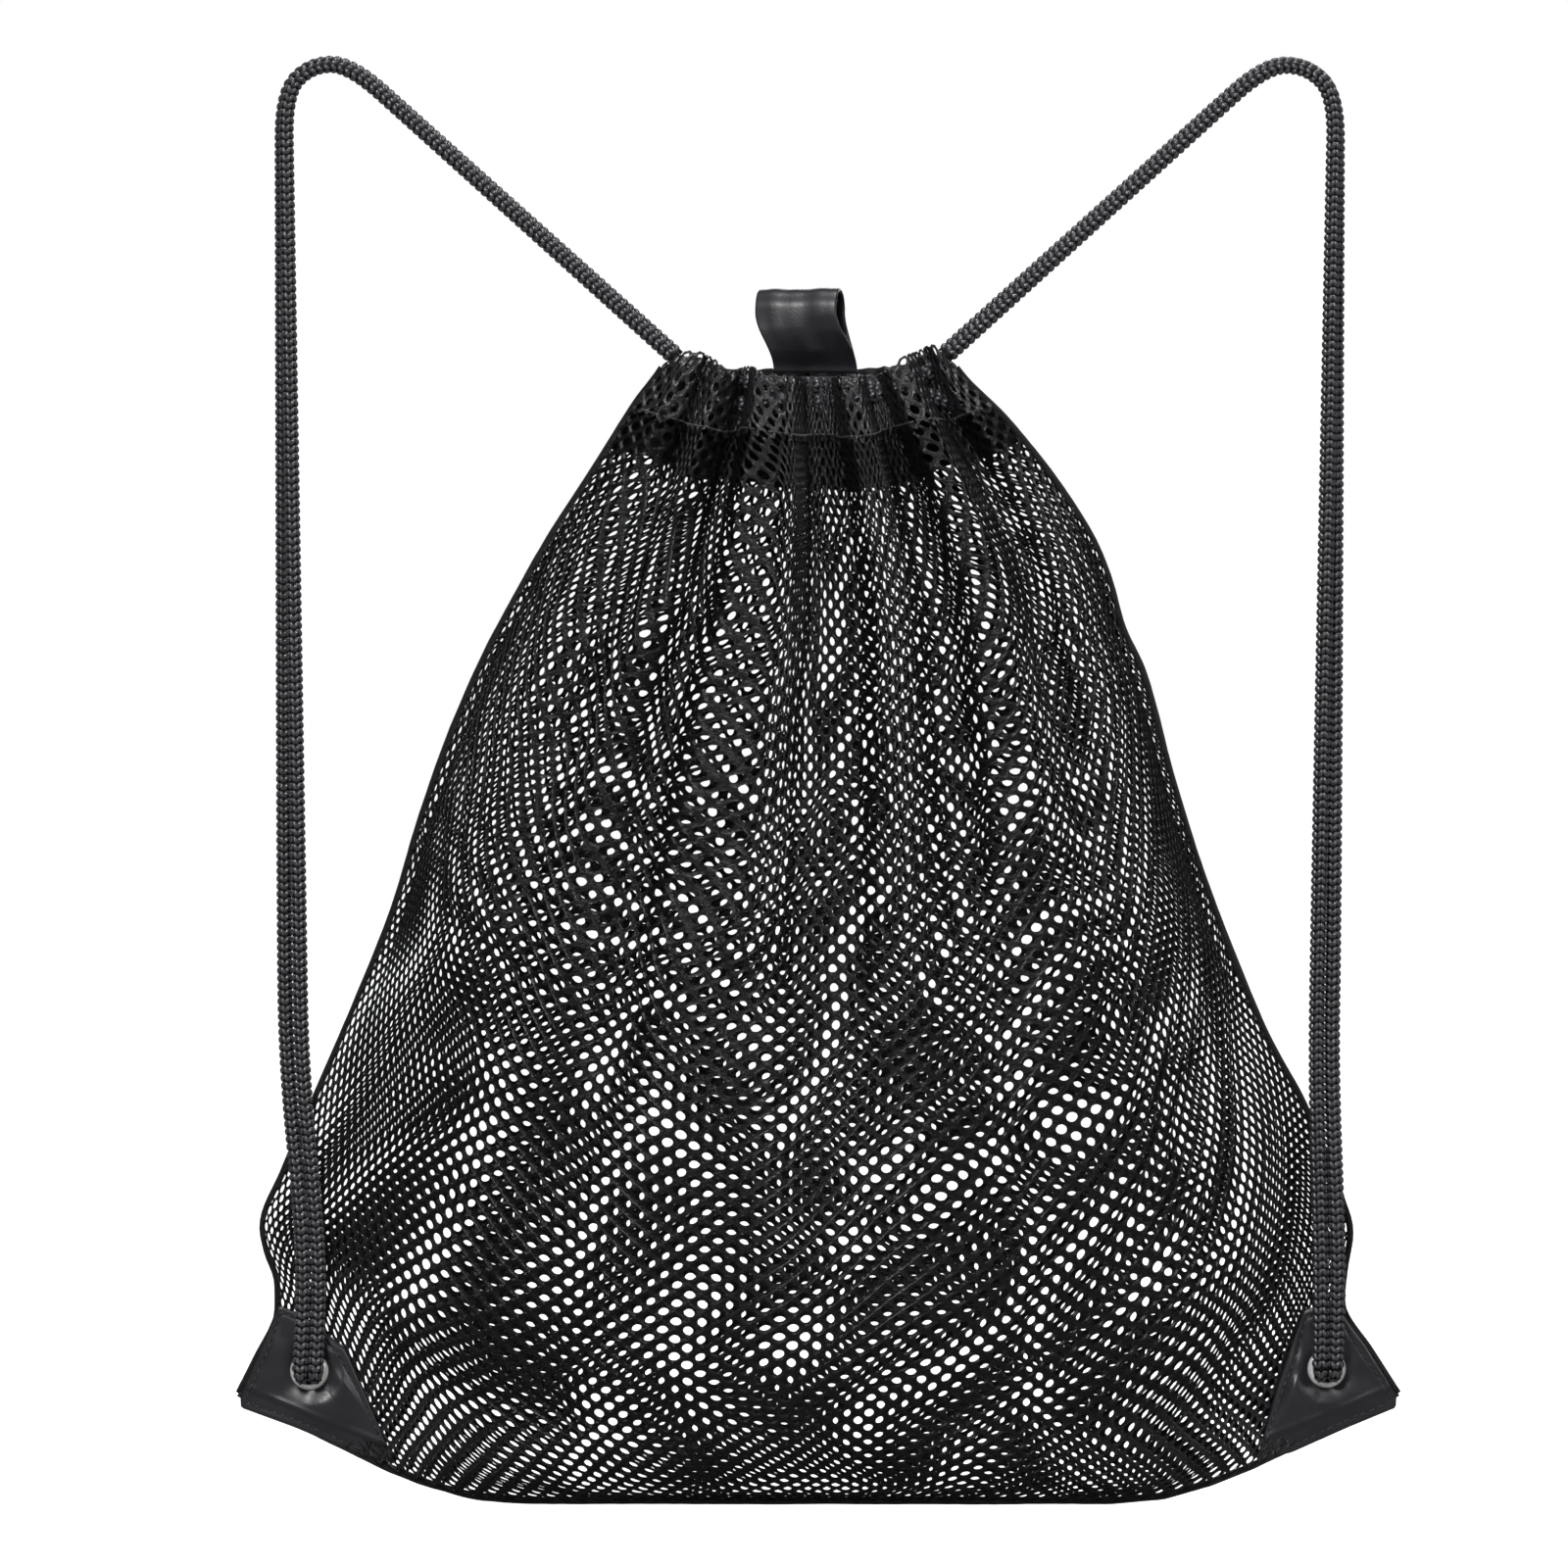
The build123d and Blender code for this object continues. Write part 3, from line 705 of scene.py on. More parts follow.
def clothSurface(side, seed):
    # front (side -1) or back (side 1) cloth as rows of points, from the top of the casing to the lower edge
    rows, columns = bagSet["rows"], bagSet["columns"]
    rng = np.random.default_rng(seed)
    levels = bagSet["levels"]
    depthColumn = 1 if side < 0 else 2
    left = evenPath(bagSet["leftEdge"], rows)
    right = evenPath(bagSet["rightEdge"], rows)
    heights = np.linspace(bagSet["middleFrom"], bagSet["middleTo"], 500)
    middleDepth = through(levels, heights, depthColumn)
    middleRun = np.r_[0, np.cumsum(np.hypot(np.diff(heights), np.diff(middleDepth)))]
    middle = np.interp(np.linspace(0, middleRun[-1], rows), middleRun, heights)
    creases = bagSet["frontCreases" if side < 0 else "backCreases"]
    topEdge = bagSet["topEdge" if side < 0 else "backTopEdge"]
    reach = rng.uniform(0.75, 1.25, len(creases))
    waves = [(rng.uniform(2, 7), rng.uniform(2, 9), rng.uniform(0, math.tau), rng.uniform(0.3, 1)) for _ in range(14)]
    lowRise = bagSet["middleTo"] - bagSet["cornerHeight"]
    s = np.linspace(0, 1, 1601)
    t = 2 * s - 1
    keep = 1 - np.abs(t) ** 8  # calm at both side seams
    lowerEdge = lookUp(bagSet["lowerEdge"], np.abs(t) * bagSet["cornerX"])
    edgeShare = np.clip((lowerEdge - bagSet["cornerHeight"]) / lowRise, 0, 1)
    broad = np.cos(math.pi * t / 2) ** 0.8
    fine = np.sin(math.tau * (s * 17 + 0.25 * np.sin(5 * s + seed))) * 0.2
    lengthwise = np.interp(s, [c[0] for c in creases], reach)
    result = np.zeros((rows, columns, 3))
    for r in range(rows):
        v = r / (rows - 1)
        xl, zl = left[r]
        xr, zr = right[r]
        x = xl + (xr - xl) * s
        sideHeight = zl + (zr - zl) * s
        share = edgeShare * v ** 3 + broad * (1 - v ** 3)
        z = sideHeight + (middle[r] - sideHeight) * share
        crown = through(topEdge, x) - lookUp(bagSet["mouthLine"], x)
        z = z + crown * math.exp(-((v / bagSet["crownFade"]) ** 2))
        depth = through(levels, middle[r] * 0.75 + z * 0.25, depthColumn)
        edge = through(levels, z, 3)
        flange = through(levels, z, 4)
        inner = np.clip(np.abs(x - (xl + xr) / 2) / np.maximum((xr - xl) / 2 - flange, 5), 0, 1)
        bulge = np.cos(math.pi * inner / 2) ** lookUp(bagSet["bulge"], v)
        y = edge + np.maximum(depth - edge, 0) * bulge
        fold = foldProfile(s, creases, min(0.03 + 0.5 * max(0, v - 0.12), 0.3))
        tall = through(levels, np.full(1, middle[r]), 5)[0] * np.clip(1.25 - (v / lengthwise), 0.3, 1) ** 0.5
        y = y + tall * (fold + fine * math.exp(-((v / 0.25) ** 2))) * keep * np.clip((depth - 1) / 18, 0, 1)
        wrinkle = sumOfWaves(waves, s, v) * bagSet["wrinkle"]
        flank = np.sin(math.tau * (v * 21 + 0.6 * np.sin(7 * s + seed))) * np.clip((np.abs(t) - 0.5) / 0.3, 0, 1)
        flank = flank * math.sin(math.pi * min(1, v * 1.05)) * bagSet["flankRipple"]
        calm = keep * np.clip((1 - inner) / 0.3, 0, 1) * min(1, (1 - v) / 0.08 + 0.05) * min(1, v / 0.1)
        y = y + (wrinkle + flank) * calm
        # cloth bunches up in the creases and lies more open on the rolls
        dense = bagSet["creaseDense"] * math.exp(-((v / 0.42) ** 2)) + 0.25
        bunched = 1 + dense * np.clip((1 - fold) / 2, 0, 1) ** 3.5
        outer = np.clip((np.abs(t) - 0.66) / 0.34, 0, 1) ** 1.3
        bunched = bunched + bagSet["flankDense"] * outer * lookUp(bagSet["flankDown"], v)
        if side < 0:
            for place, spread, dense in bagSet["gathers"]:
                gather = dense * np.exp(-(((s - place) / spread) ** 4))
                bunched = bunched + gather * lookUp(bagSet["gatherDown"], v)
        steps = np.sqrt(np.diff(x) ** 2 + np.diff(y) ** 2 + np.diff(z) ** 2)
        run = np.r_[0, np.cumsum(steps * bunched[1:])]
        at = np.linspace(0, 1, columns)
        pull = sumOfWaves(waves[:8], at * 0.6, v * 0.5)
        pull = pull * bagSet["pull"] * np.sin(math.pi * at) ** 0.5 * min(1, 4 * (1 - v))
        at = np.clip(at + pull, 0, 1) * run[-1]
        result[r] = np.stack([np.interp(at, run, x), side * np.interp(at, run, y), np.interp(at, run, z)], 1)
    # the cloth also creeps up and down a little between its rows
    place = np.linspace(0, 1, rows)
    for c in range(1, columns - 1):
        u = c / (columns - 1)
        turned = [(g, f, phase, size) for f, g, phase, size in waves[6:]]
        creep = sumOfWaves(turned, u * 0.55, place * 0.5) * bagSet["creep"] * np.sin(math.pi * place) ** 0.5
        moved = np.clip(place + creep, 0, 1)
        result[:, c] = np.stack([np.interp(moved, place, result[:, c, k]) for k in range(3)], 1)
    # even out the steps between rows
    for _ in range(bagSet["smoothings"]):
        result[1:-1, 1:-1] = result[1:-1, 1:-1] * 0.6 + 0.2 * (result[:-2, 1:-1] + result[2:, 1:-1])
    return result * millimetre


def rowsBetween(surface, first, last, count):
    at = np.linspace(first, last, count) * (len(surface) - 1)
    low = np.clip(at.astype(int), 0, len(surface) - 2)
    share = (at - low)[:, None, None]
    return surface[low] * (1 - share) + surface[low + 1] * share


def clothObject(name, grid, side, material=None, hidden=True, turned=False):
    rows, columns = grid.shape[:2]
    uv = np.stack(np.meshgrid(np.linspace(0, 1, columns), np.linspace(1, 0, rows)), -1).reshape(-1, 2)
    points = grid.reshape(-1, 3)
    return meshObject(
        name, points, gridFaces(rows, columns, flip=(side < 0) != turned), uv, "cloth", material, hidden=hidden,
    )


frontSurface = clothSurface(-1, 3)
backSurface = clothSurface(1, 8)
for label, surface in (("front", frontSurface), ("back", backSurface)):
    across = np.linalg.norm(np.diff(surface, axis=1), axis=2).sum(1)
    down = np.linalg.norm(np.diff(surface, axis=0), axis=2).sum(0)
    print("stage: cloth", label, "across", across[::25].round(3), "down", down[::40].round(3))

netSet = {
    "cellWidth": 6.1,
    "cellHeight": 6.5,
    "holeWidth": 2.8,
    "holeHeight": 3.4,
    "crown": 0.34,  # how far the yarn stands out between the holes
    "rim": -0.3,
    "mergeWithin": 0.00008,
    "panelWidth": 406,
    "panelDepth": 430,
}


def netTile():
    # one hole with the yarn around it, out to the lines halfway to the next holes
    a, b = netSet["cellWidth"] / 2, netSet["cellHeight"] / 2
    hw, hh = netSet["holeWidth"] / 2, netSet["holeHeight"] / 2
    corners = [(a, 0), (0, b), (-a, 0), (0, -b)]
    outer = []
    for (x, y), (nx, ny) in zip(corners, corners[1:] + corners[:1]):
        outer += [(x + (nx - x) * k / 3, y + (ny - y) * k / 3) for k in range(3)]
    count = len(outer)
    points = []
    for k, (x, y) in enumerate(outer):
        points.append((x, y, netSet["crown"] * (0.5 if k % 3 == 0 else 1.0)))
    for x, y in outer:
        turn = math.atan2(y / b, x / a)
        points.append((hw * math.cos(turn), hh * math.sin(turn), netSet["rim"]))
    faces = [(k, (k + 1) % count, count + (k + 1) % count, count + k) for k in range(count)]
    points = [(x * millimetre, y * millimetre, z * millimetre) for x, y, z in points]
    # filament lines run round the hole
    uv = [(k * 0.75, 0.0) for k in range(count)] + [(k * 0.75, 1.2) for k in range(count)]
    return meshObject("netTile", points, [f[::-1] for f in faces], uv, "yarn", hidden=True)


def netTree():
    t = treeMaker("netOnCloth", [
        ("Cloth", "Object"), ("Cell", "Object"), ("Width", "Float", 0.406), ("Depth", "Float", 0.43),
        ("Cell Width", "Float", 0.0061), ("Cell Height", "Float", 0.0065), ("Material", "Material"),
    ])
    given = t.given
    cloth, cell = t.shapeOf(given["Cloth"]), t.shapeOf(given["Cell"])
    across = t.calc("FLOOR", t.calc("DIVIDE", given["Width"], given["Cell Width"]))
    down = t.calc("FLOOR", t.calc("DIVIDE", given["Depth"], given["Cell Height"]))
    grids = []
    for shifted in (0, 1):
        counts = t.calc("SUBTRACT", across, shifted), t.calc("SUBTRACT", down, shifted)
        grids.append(t.copies(t.grid(*counts, given["Cell Width"], given["Cell Height"]), cell))
    flat = {"Geometry": t.solid(t.joined(*grids)), "Distance": netSet["mergeWithin"]}
    merged = t.node("GeometryNodeMergeByDistance", flat)[0]
    x, y, z = t.position()
    shares = []
    for way, count, size in ((x, across, given["Cell Width"]), (y, down, given["Cell Height"])):
        share = t.calc("ADD", t.calc("DIVIDE", way, t.calc("MULTIPLY", count, size)), 0.5)
        shares.append(t.calc("MINIMUM", t.calc("MAXIMUM", share, 0.0005), 0.9995))
    clothMap = t.node("GeometryNodeInputNamedAttribute", {"Name": "cloth"}, data_type="FLOAT_VECTOR")[0]
    sampled = []
    for kind in ("GeometryNodeInputPosition", "GeometryNodeInputNormal"):
        inputs = {"Mesh": cloth, "Value": t.node(kind)[0], "UV Map": clothMap, "Sample UV": t.combine(*shares, 0)}
        sampled.append(t.node("GeometryNodeSampleUVSurface", inputs, data_type="FLOAT_VECTOR")["Value"])
    lift = t.vector("SCALE", t.vector("NORMALIZE", sampled[1]), z)
    return t.finish(t.painted(t.moved(merged, t.vector("ADD", sampled[0], lift)), given["Material"]))


cell = netTile()
net = netTree()


def netPiece(name, cloth, width, depth, node, knit=knitBlack):
    made = runTree(net, name, {
        "Cloth": cloth, "Cell": cell, "Width": width * millimetre, "Depth": depth * millimetre,
        "Cell Width": netSet["cellWidth"] * millimetre, "Cell Height": netSet["cellHeight"] * millimetre,
        "Material": knit,
    })
    settle(made, node, "bag")
    print("stage: net", name, len(made.data.polygons), "faces")
    return made


hem = bagSet["hemShare"]
for label, surface, side in (("front", frontSurface, -1), ("back", backSurface, 1)):
    cloth = clothObject(label + "Cloth", rowsBetween(surface, hem, 1, bagSet["rows"]), side)
    netPiece(
        label + "_mesh_net", cloth, netSet["panelWidth"], netSet["panelDepth"] * (1 - hem),
        label + "_mesh_panel",
    )

casingSet = {"tunnel": 6.5, "bandDepth": 0.093, "bandThickness": 0.7, "rows": 14, "frontDepth": 52}


def hemGrid(surface, side, share, count, gap):
    # outer layer up to the fold, then the inner layer down again
    outer = rowsBetween(surface, share, 0, count)
    inner = rowsBetween(surface, 0, share, count)
    down = np.linspace(0, 1, count)[:, None]
    push = gap * (np.sin(math.pi * np.clip(down * 0.85 + 0.12, 0, 1)) + 0.12) * millimetre
    inner[:, :, 1] -= side * push
    grid = np.vstack([outer, inner])
    for _ in range(3):
        grid[1:-1] = 0.5 * grid[1:-1] + 0.25 * (grid[:-2] + grid[2:])
    return grid


frontHem = clothObject(
    "frontHem", hemGrid(frontSurface, -1, hem * 1.12, casingSet["rows"], casingSet["tunnel"]), -1, turned=True,
)
# the casing net takes the lighter knit, a painted highlight
frontCasing = netPiece(
    "front_casing_net", frontHem, netSet["panelWidth"], casingSet["frontDepth"], "front_casing", hemKnitPaintedHighlight,
)

backBand = clothObject(
    "back_casing_band", hemGrid(backSurface, 1, hem, casingSet["rows"], casingSet["tunnel"]), 1, bandBlack,
    hidden=False, turned=True,
)


bandGrid = rowsBetween(backSurface, 0.004, casingSet["bandDepth"], 24).copy()
bandGrid[:, :, 1] -= 1.1 * millimetre
bandFace = clothObject("back_casing_facing", bandGrid, 1, bandBlack, hidden=False)
for piece in (backBand, bandFace):
    wall = piece.modifiers.new("thickness", "SOLIDIFY")
    wall.thickness = casingSet["bandThickness"] * millimetre
    wall.offset = 0
    settle(piece, "back_casing", "bag")
print("stage: casings")


def tubeAlong(name, path, wide, deep, material, segments=12):
    # path and half sizes in metres; wide lies in the plane of the bag, deep across it
    tangent, run = evenRun(path)
    across = np.array([0.0, 1.0, 0.0])
    side = np.cross(tangent, across)
    side /= np.linalg.norm(side, axis=1)[:, None]
    angle = np.linspace(0, math.tau, segments, endpoint=False)
    rings = (path[:, None] + side[:, None] * (wide[:, None] * np.cos(angle))[..., None]
             + across * (deep[:, None] * np.sin(angle))[..., None])
    uv = np.stack([np.repeat(run, segments) * 1000, np.tile(angle, len(path)) * 2], -1)
    faces = ringFaces(len(path), segments, caps=True)
    made = meshObject(name, rings.reshape(-1, 3), faces, uv, "yarn", material)
    fixNormals(made)
    return made


seamSet = {"side": (1.1, 1.25), "lower": (1.3, 1.35), "wobble": 0.175, "firstRow": 1}


def seamPiece(name, rows, node, size):
    path = sum(rows) / 2
    count = len(path)
    rng = np.random.default_rng(len(name))
    drift = np.convolve(rng.uniform(-1, 1, count + 8), np.ones(9) / 5, "valid")[:count]
    wide, deep = (half * (1 + seamSet["wobble"] * drift) * millimetre for half in size)
    made = tubeAlong(name, path, wide, deep, seamBlack)
    settle(made, node, "bag")
    return made


surfaces = (frontSurface, backSurface)
leftSeam, rightSeam = (
    seamPiece(
        f"{side}_seam_roll", [s[seamSet["firstRow"]:, column] for s in surfaces], f"{side}_side_seam",
        seamSet["side"],
    )
    for side, column in (("left", 0), ("right", -1))
)
lowerSeam = seamPiece("bottom_seam_roll", [s[-1] for s in surfaces], "bottom_seam", seamSet["lower"])
print("stage: seams")

patchSet = {
    # the line of the strip turned under, along the lower edge
    "hemLines": {"left": ((-186.7, -451.2), (-148.3, -466.9)), "right": ((186.5, -451.2), (148, -466.9))},
    "outlines": {
        "left": [
            (-183.5, -419.5), (-176, -422.5), (-161, -434), (-153, -452), (-144, -473.5), (-157, -469.8),
            (-178, -461), (-196.3, -454.3), (-196.5, -450),
        ],
        "right": [
            (176, -419), (165, -421), (156, -447), (149, -472.5), (161, -469.5), (180, -461), (196.3, -454.3),
            (196.5, -450), (186, -433),
        ],
    },
    "centres": {"left": (-173, -441.7), "right": (172.7, -441)},
    "phases": {"left": (5.93, 3.21), "right": (4.41, 0.35)},
    "hole": 5.1,
    "rounding": 0.12,
    "face": 1.0,
    "thickness": 1.4,
    "rings": 22,
    "spokes": 120,
    "swell": 2.1,
    "hemStep": 0.75,
    "hemRidge": 0.5,
}


def insetOutline(outline, centre, count, corner=0.9):
    # the outline as seen from the eyelet, with its corners rounded
    p = np.array(outline, float)
    closed = np.vstack([p, p[:1]])
    d = np.r_[0, np.cumsum(np.linalg.norm(np.diff(closed, axis=0), axis=1))]
    at = np.linspace(0, d[-1], 721)[:-1]
    q = np.stack([np.interp(at, d, closed[:, k]) for k in (0, 1)], 1)
    width = max(3, int(corner / (d[-1] / 720)) | 1)
    kernel = np.ones(width) / width
    q = np.stack(
        [
            np.convolve(np.r_[q[-width // 2:, k], q[:, k], q[:width // 2, k]], kernel, "same")[width // 2 + 1:][:720]
            for k in (0, 1)
        ],
        1,
    )
    angle = np.unwrap(np.arctan2(q[:, 1] - centre[1], q[:, 0] - centre[0]))
    if angle[-1] < angle[0]:
        q, angle = q[::-1], angle[::-1]
    return q[:: 720 // count]


def lineHeight(line, x):
    (x1, z1), (x2, z2) = line
    return z1 + (z2 - z1) * (x - x1) / (x2 - x1)


def patchHeight(side, place, turn, gap, reach):
    # gap is the way to the outer edge, reach the whole way from the hole to that edge
    centre = patchSet["centres"][side]
    q = 1 - gap / reach
    swing = q * (1 - q) * 4
    phases = patchSet["phases"][side]
    rounded = 1 - math.exp(-gap / 0.55)
    sunk = 0.28 * math.exp(-(((gap - 2.6) / 0.7) ** 2))
    press = 0.15 * math.exp(-((q * reach / 2.2) ** 2))
    crease = (0.35 * math.sin(3 * turn + phases[0]) + 0.22 * math.sin(7 * turn + phases[1]) + 0.45) * swing * 0.8
    y = patchSet["face"] + patchSet["thickness"] * (0.72 + 0.28 * rounded) + crease - sunk - press
    # swells below the eyelet, then steps down to the strip turned under along the lower edge
    inward = (place[0] - centre[0]) * (1 if side == "left" else -1) - 5
    below = place[1] - centre[1] + 8
    swell = min(1, max(0, (q * reach - 1.8) / 5)) * min(1, max(0, (gap - 2.6) / 4))
    y += patchSet["swell"] * math.exp(-(inward ** 2 + below ** 2) / 120) * swell
    hemLine = lineHeight(patchSet["hemLines"][side], place[0]) - place[1]
    y -= patchSet["hemStep"] / (1 + math.exp(-hemLine / 0.35))
    return y + patchSet["hemRidge"] * math.exp(-(((hemLine + 0.9) / 0.8) ** 2))


def patchRays(side, outer):
    # for each outline point: its turn round the eyelet, unit way out, and how far it is from the hole
    centre = np.array(patchSet["centres"][side])
    out = outer - centre
    away = np.linalg.norm(out, axis=1)
    return np.arctan2(out[:, 1], out[:, 0]), out / away[:, None], away - patchSet["hole"]


def cornerPatch(side, face, sign):
    centre = np.array(patchSet["centres"][side])
    outer = insetOutline(patchSet["outlines"][side], centre, patchSet["spokes"])
    turn, out, reach = patchRays(side, outer)
    inner = centre + patchSet["hole"] * out
    rings = []
    for q in np.linspace(0, 1, patchSet["rings"]) ** 0.8:
        places = zip(inner * (1 - q) + outer * q, turn, reach)
        rings.append([(p[0], patchHeight(side, p, a, far * (1 - q), far), p[1]) for p, a, far in places])
    brim = rings[-1]
    for share in (0.3, 0.6, 0.85, 1.0):
        places = outer + out * patchSet["rounding"] * math.sin(math.pi * share)
        rings.append([(p[0], brim[k][1] * (1 - share), p[1]) for k, p in enumerate(places)])
    points = [(x * millimetre, sign * y * millimetre, z * millimetre) for ring in rings for x, y, z in ring]
    faces = ringFaces(len(rings), len(outer))
    made = meshObject(f"{side}_{face}_patch", points, faces, material=leatherBlack)
    fixNormals(made, facing=sign)
    settle(made, f"{side}_{face}_corner_patch", "bag")
    return outer


patchEdges = {}
for side in ("left", "right"):
    for face, sign in (("front", -1), ("back", 1)):
        patchEdges[side, face] = cornerPatch(side, face, sign)
for side in ("left", "right"):
    for node in (f"{side}_eyelet", f"{side}_eyelet_washer"):
        thing = nodes[node]
        thing.data.materials.clear()
        thing.data.materials.append(nickel)
print("stage: patches and eyelets")

stitchSet = {
    "length": 2.3, "width": 0.62, "gap": 3.1, "inset": 2.6, "sides": 6,
    # place along the stitch, and its share of the full width there
    "rings": [(-0.5, 0.25), (-0.38, 0.85), (0.0, 1.0), (0.38, 0.85), (0.5, 0.25)],
    "sink": 0.35,
}


def stitchTile():
    sides, rings = stitchSet["sides"], stitchSet["rings"]
    long, wide = stitchSet["length"] * millimetre, stitchSet["width"] * millimetre
    points = []
    for x, swell in rings:
        for k in range(sides):
            a = math.tau * k / sides
            height = math.sin(a) * swell * 0.5 - stitchSet["sink"] * abs(x)
            points.append((x * long, math.cos(a) * swell * wide / 2, height * wide))
    uv = [(1000 * x, 2000 * y) for x, y, _ in points]
    tile = meshObject("stitchTile", points, ringFaces(len(rings), sides, caps=True), uv, "yarn", hidden=True)
    fixNormals(tile)
    return tile


def stitchTree():
    t = treeMaker("stitchesAlongLine", [
        ("Line", "Object"), ("Stitch", "Object"), ("Gap", "Float", 0.0031),
        ("Outward", "Vector", (0, -1, 0)), ("Material", "Material"),
    ])
    given = t.given
    curve = t.node("GeometryNodeMeshToCurve", {"Mesh": t.shapeOf(given["Line"])})[0]
    steps = t.node("GeometryNodeCurveToPoints", {"Curve": curve, "Length": given["Gap"]}, mode="LENGTH")
    align = "FunctionNodeAlignRotationToVector"
    facing = t.node(align, {"Vector": given["Outward"]}, axis="Z")[0]
    turned = t.node(align, {"Rotation": facing, "Vector": steps["Tangent"]}, axis="X", pivot_axis="Z")[0]
    copies = t.copies(steps["Points"], t.shapeOf(given["Stitch"]), Rotation=turned)
    return t.finish(t.painted(t.solid(copies), given["Material"]))


stitch = stitchTile()
stitches = stitchTree()


def lineObject(name, lines):
    mesh = bpy.data.meshes.new(name)
    points = [tuple(map(float, p)) for line in lines for p in line]
    edges, first = [], 0
    for line in lines:
        edges += [(k, k + 1) for k in range(first, first + len(line) - 1)]
        first += len(line)
    mesh.from_pydata(points, edges, [])
    return addObject(name, mesh, hidden=True)


def stitchPiece(name, lines, outward, gap=stitchSet["gap"]):
    made = runTree(stitches, name, {
        "Line": lineObject(name + "Line", lines), "Stitch": stitch,
        "Gap": gap * millimetre, "Outward": outward, "Material": stitchBlack,
    })
    settle(made, None, "bag")
    print("stage: stitches", name, len(made.data.polygons))
    return made


for label, surface, sign in (("front", frontSurface, -1), ("back", backSurface, 1)):
    row = rowsBetween(surface, hem, hem + 0.001, 2)[0].copy()
    row[:, 1] += sign * 0.55 * millimetre
    stitchPiece(f"{label}_hem_stitches", [row[3:-3]], (0, sign, 0), 3.4)

for side in ("left", "right"):
    for face, sign in (("front", -1), ("back", 1)):
        outer = patchEdges[side, face]
        turn, out, reach = patchRays(side, outer)
        line = []
        for p, a, far in zip(outer - out * stitchSet["inset"], turn, reach):
            height = patchHeight(side, p, a, stitchSet["inset"], far) + 0.14
            line.append((p[0] * millimetre, sign * height * millimetre, p[1] * millimetre))
        stitchPiece(f"{side}_{face}_patch_stitches", [line + line[:1]], (0, sign, 0))

loopSet = {
    "middle": (-1.0, 6.1, -101.4),
    "width": 28.5,
    "thickness": 1.5,
    "outline": [
        (-1.0, -0.7), (-1.3, 1.5), (-4.6, 7.5), (-6.5, 14.5), (-6.2, 21.5), (-3.6, 26.2), (0.2, 27.3),
        (3.8, 26), (6.3, 21.2), (6.4, 14), (4.3, 7.2), (1.3, 1.5), (1.0, -0.7),
    ],
    "lean": -5.2,
    "twist": 14,
    "tabPath": [(0, -14.0), (0, -10), (0.1, -6), (0, -3.2), (0, -1.95)],
    "tabThickness": 3.0,
}


def strapSection(width, thickness, count=5):
    # rounded flat strap, its edges a little fuller
    w, h = width / 2, thickness / 2
    points = []
    for side, first in ((1, -90), (1, 0), (-1, 90), (-1, 180)):
        for k in range(count):
            a = math.radians(first + 90 * k / (count - 1))
            points.append((side * (w - h) + h * math.cos(a), h * math.sin(a)))
    dense = []
    for (ax, ay), (bx, by) in zip(points, points[1:] + points[:1]):
        steps = 14 if abs(ax - bx) > w else 1
        dense += [(ax + (bx - ax) * k / steps, ay + (by - ay) * k / steps) for k in range(steps)]
    return dense


def strapSweep(name, path, thickness, body, node, seed):
    # path is (y, z) in millimetres
    p = evenPath(path, 90)
    tangent, _ = evenRun(p)
    normal = np.stack([-tangent[:, 1], tangent[:, 0]], 1)
    ripple = np.random.default_rng(seed).uniform(0, math.tau, 3)
    section = strapSection(loopSet["width"], thickness)
    points = []
    for k in range(len(p)):
        for x, h in section:
            rise = 0.18 * math.sin(x * 0.35 + ripple[0] + k * 0.07) + 0.1 * math.sin(x * 0.8 + ripple[1])
            points.append(loopPlace(x, *(p[k] + normal[k] * (h + rise))))
    made = meshObject(name, points, ringFaces(len(p), len(section), caps=True), material=leatherBlack)
    fixNormals(made)
    settle(made, node, body)


def loopPlace(x, y, z):
    baseX, baseY, baseZ = loopSet["middle"]
    share = min(1, max(0, z / 20))
    share = share * share * (3 - 2 * share)
    turn = math.radians(loopSet["twist"]) * share
    across = x * math.cos(turn) + y * math.sin(turn)
    deep = -x * math.sin(turn) + y * math.cos(turn)
    return (
        (baseX + across + loopSet["lean"] * share) * millimetre, (baseY + deep) * millimetre,
        (baseZ + z) * millimetre,
    )


strapSweep("hang_loop_strap", loopSet["outline"], loopSet["thickness"], "hang_loop", "hang_loop", 2)
strapSweep("hang_loop_tab_strap", loopSet["tabPath"], loopSet["tabThickness"], "bag", "hang_loop_tab", 5)
tackRows = [[loopPlace(x, -1.65, z) for x in np.linspace(-12, 12, 20)] for z in (-4.5, -9.5)]
stitchPiece("hang_loop_tack", tackRows, (0, -1, 0), 2.7)
print("stage: hang loop")

knotSet = {"reach": 1.62, "depth": 2.5, "turns": 40, "middle": 10.2, "tailSteps": (0, 3.5, 7, 10.5, 13.5)}


def joinedPiece(name, parts, node):
    bpy.ops.object.select_all(action="DESELECT")
    for part in parts:
        part.select_set(True)
    bpy.context.view_layer.objects.active = parts[0]
    bpy.ops.object.join()
    parts[0].name = parts[0].data.name = name
    settle(parts[0], node, "bag")


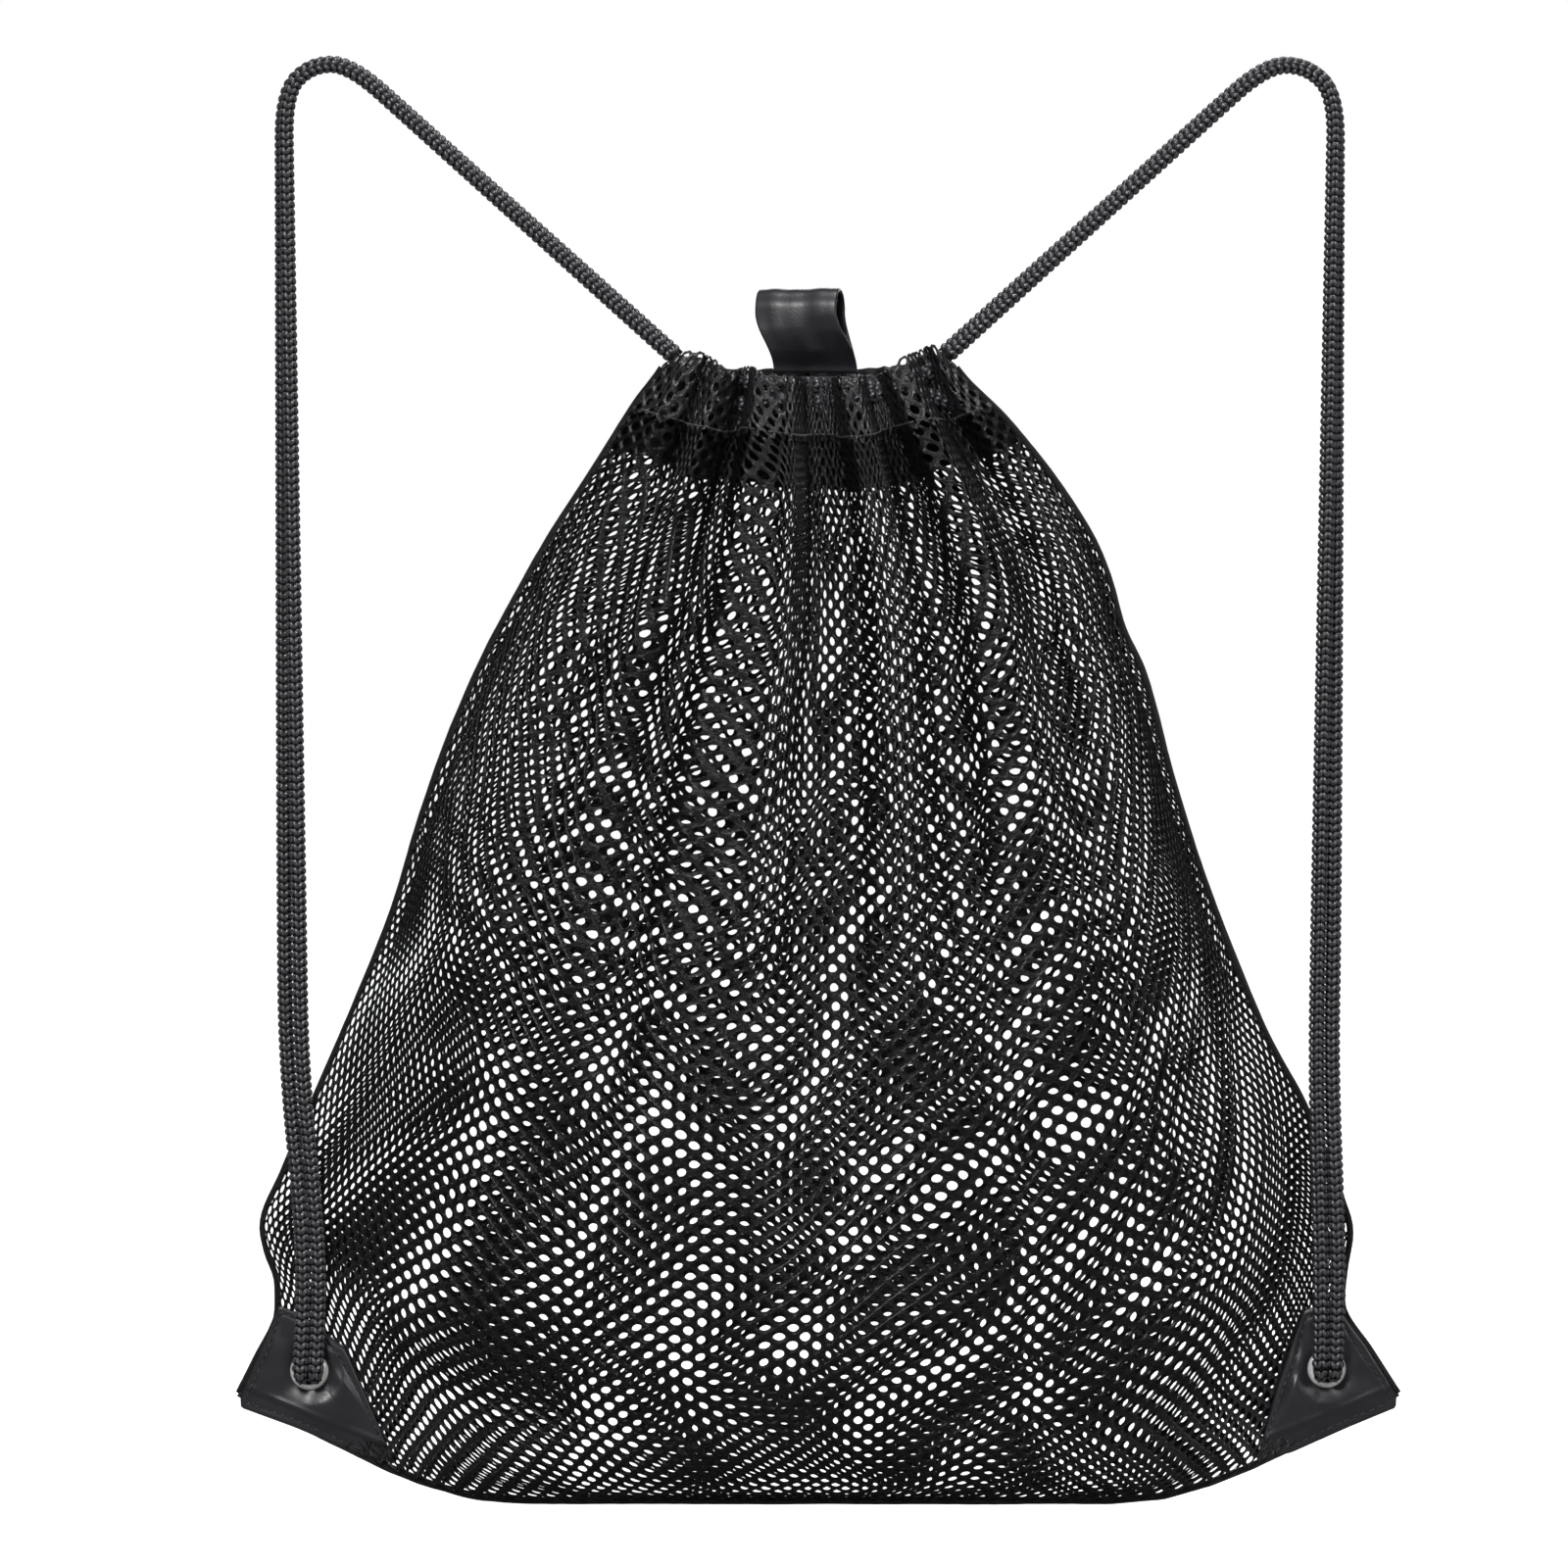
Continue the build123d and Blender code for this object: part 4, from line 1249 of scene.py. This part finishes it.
for side, (x, z) in patchSet["centres"].items():
    loops = []
    reach, depth = knotSet["reach"], knotSet["depth"]
    for a in np.linspace(0, math.tau, knotSet["turns"]):
        loops.append((
            x + reach * (math.sin(a) + 2 * math.sin(2 * a)),
            knotSet["middle"] - depth * math.sin(3 * a),
            z + reach * (math.cos(a) - 2 * math.cos(2 * a)),
        ))
    parts = [braidedCord(f"{side}KnotLoops", loops, 0.92)[0]]
    for at, strand in enumerate(("front", "back")):
        sx, sy, sz = strandRoutes[f"{side}_{strand}_strand"][0]
        lean = (sx - x) / abs(sx - x)
        neck = [
            (sx, sy + 0.2, sz + 1.5), (sx - 0.1 * lean, sy + 0.4, sz - 1.6), (x + 2.1 * lean, -5.2, z - 2.2),
            (x + 1.9 * lean, -2, z - 0.4), (x + 1.9 * lean, 2.5, z), (x + 2.2 * lean, 7, z),
        ]
        parts.append(braidedCord(f"{side}Neck{at}", neck, 0.84)[0])
    joinedPiece(f"{side}_knot_braid", parts, f"{side}_cord_knot")
    parts = []
    for lean in (-1, 1):
        top = Vector((x + 2.4 * lean, knotSet["middle"] + 0.5, z - 4))
        way = Vector((0.35 * lean, 0.15, -1)).normalized()
        sway = [Vector((0.5 * lean * math.sin(d * 0.25), 0, 0)) for d in knotSet["tailSteps"]]
        tail = [tuple(top + way * d + aside) for d, aside in zip(knotSet["tailSteps"], sway)]
        parts.append(braidedCord(f"{side}Tail{lean + 1}", tail, 0.95)[0])
    joinedPiece(f"{side}_tail_braids", parts, f"{side}_cord_tails")

# half of each cord's way round the mouth, out from its own side; the flip turns it for the right one
casingRuns = {
    "left": (
        1,
        [
            (-44.4, -3.9, -98.4), (-42.6, -4.6, -99.9), (-37, -6.2, -104), (-20, -8, -106.5),
            (0, -8.5, -107.2), (20, -8, -107.5), (38, -6.8, -109.8), (53, -6.2, -114.2),
        ],
    ),
    "right": (
        -1,
        [
            (-44.4, -3.9, -98.4), (-42.6, -4.6, -99.9), (-37, -6.6, -106), (-20, -8.4, -111), (0, -8.8, -113),
            (20, -8.2, -113.5), (38, -7, -114), (52.2, -6.4, -114.2),
        ],
    ),
}
for side, (flip, run) in casingRuns.items():
    ahead = [(bagSet["mouthMiddle"] + flip * x, y, z) for x, y, z in run]
    route = ahead + [(x, -y, z) for x, y, z in ahead[::-1]]
    cord = braidedCord(f"{side}_casing_cord_braid", route)[0]
    settle(cord, f"{side}_cord_in_casings", "bag")
print("stage: knots and casing cords")

for thing in list(workCollection.objects):
    bpy.data.objects.remove(thing)
bpy.data.collections.remove(workCollection)
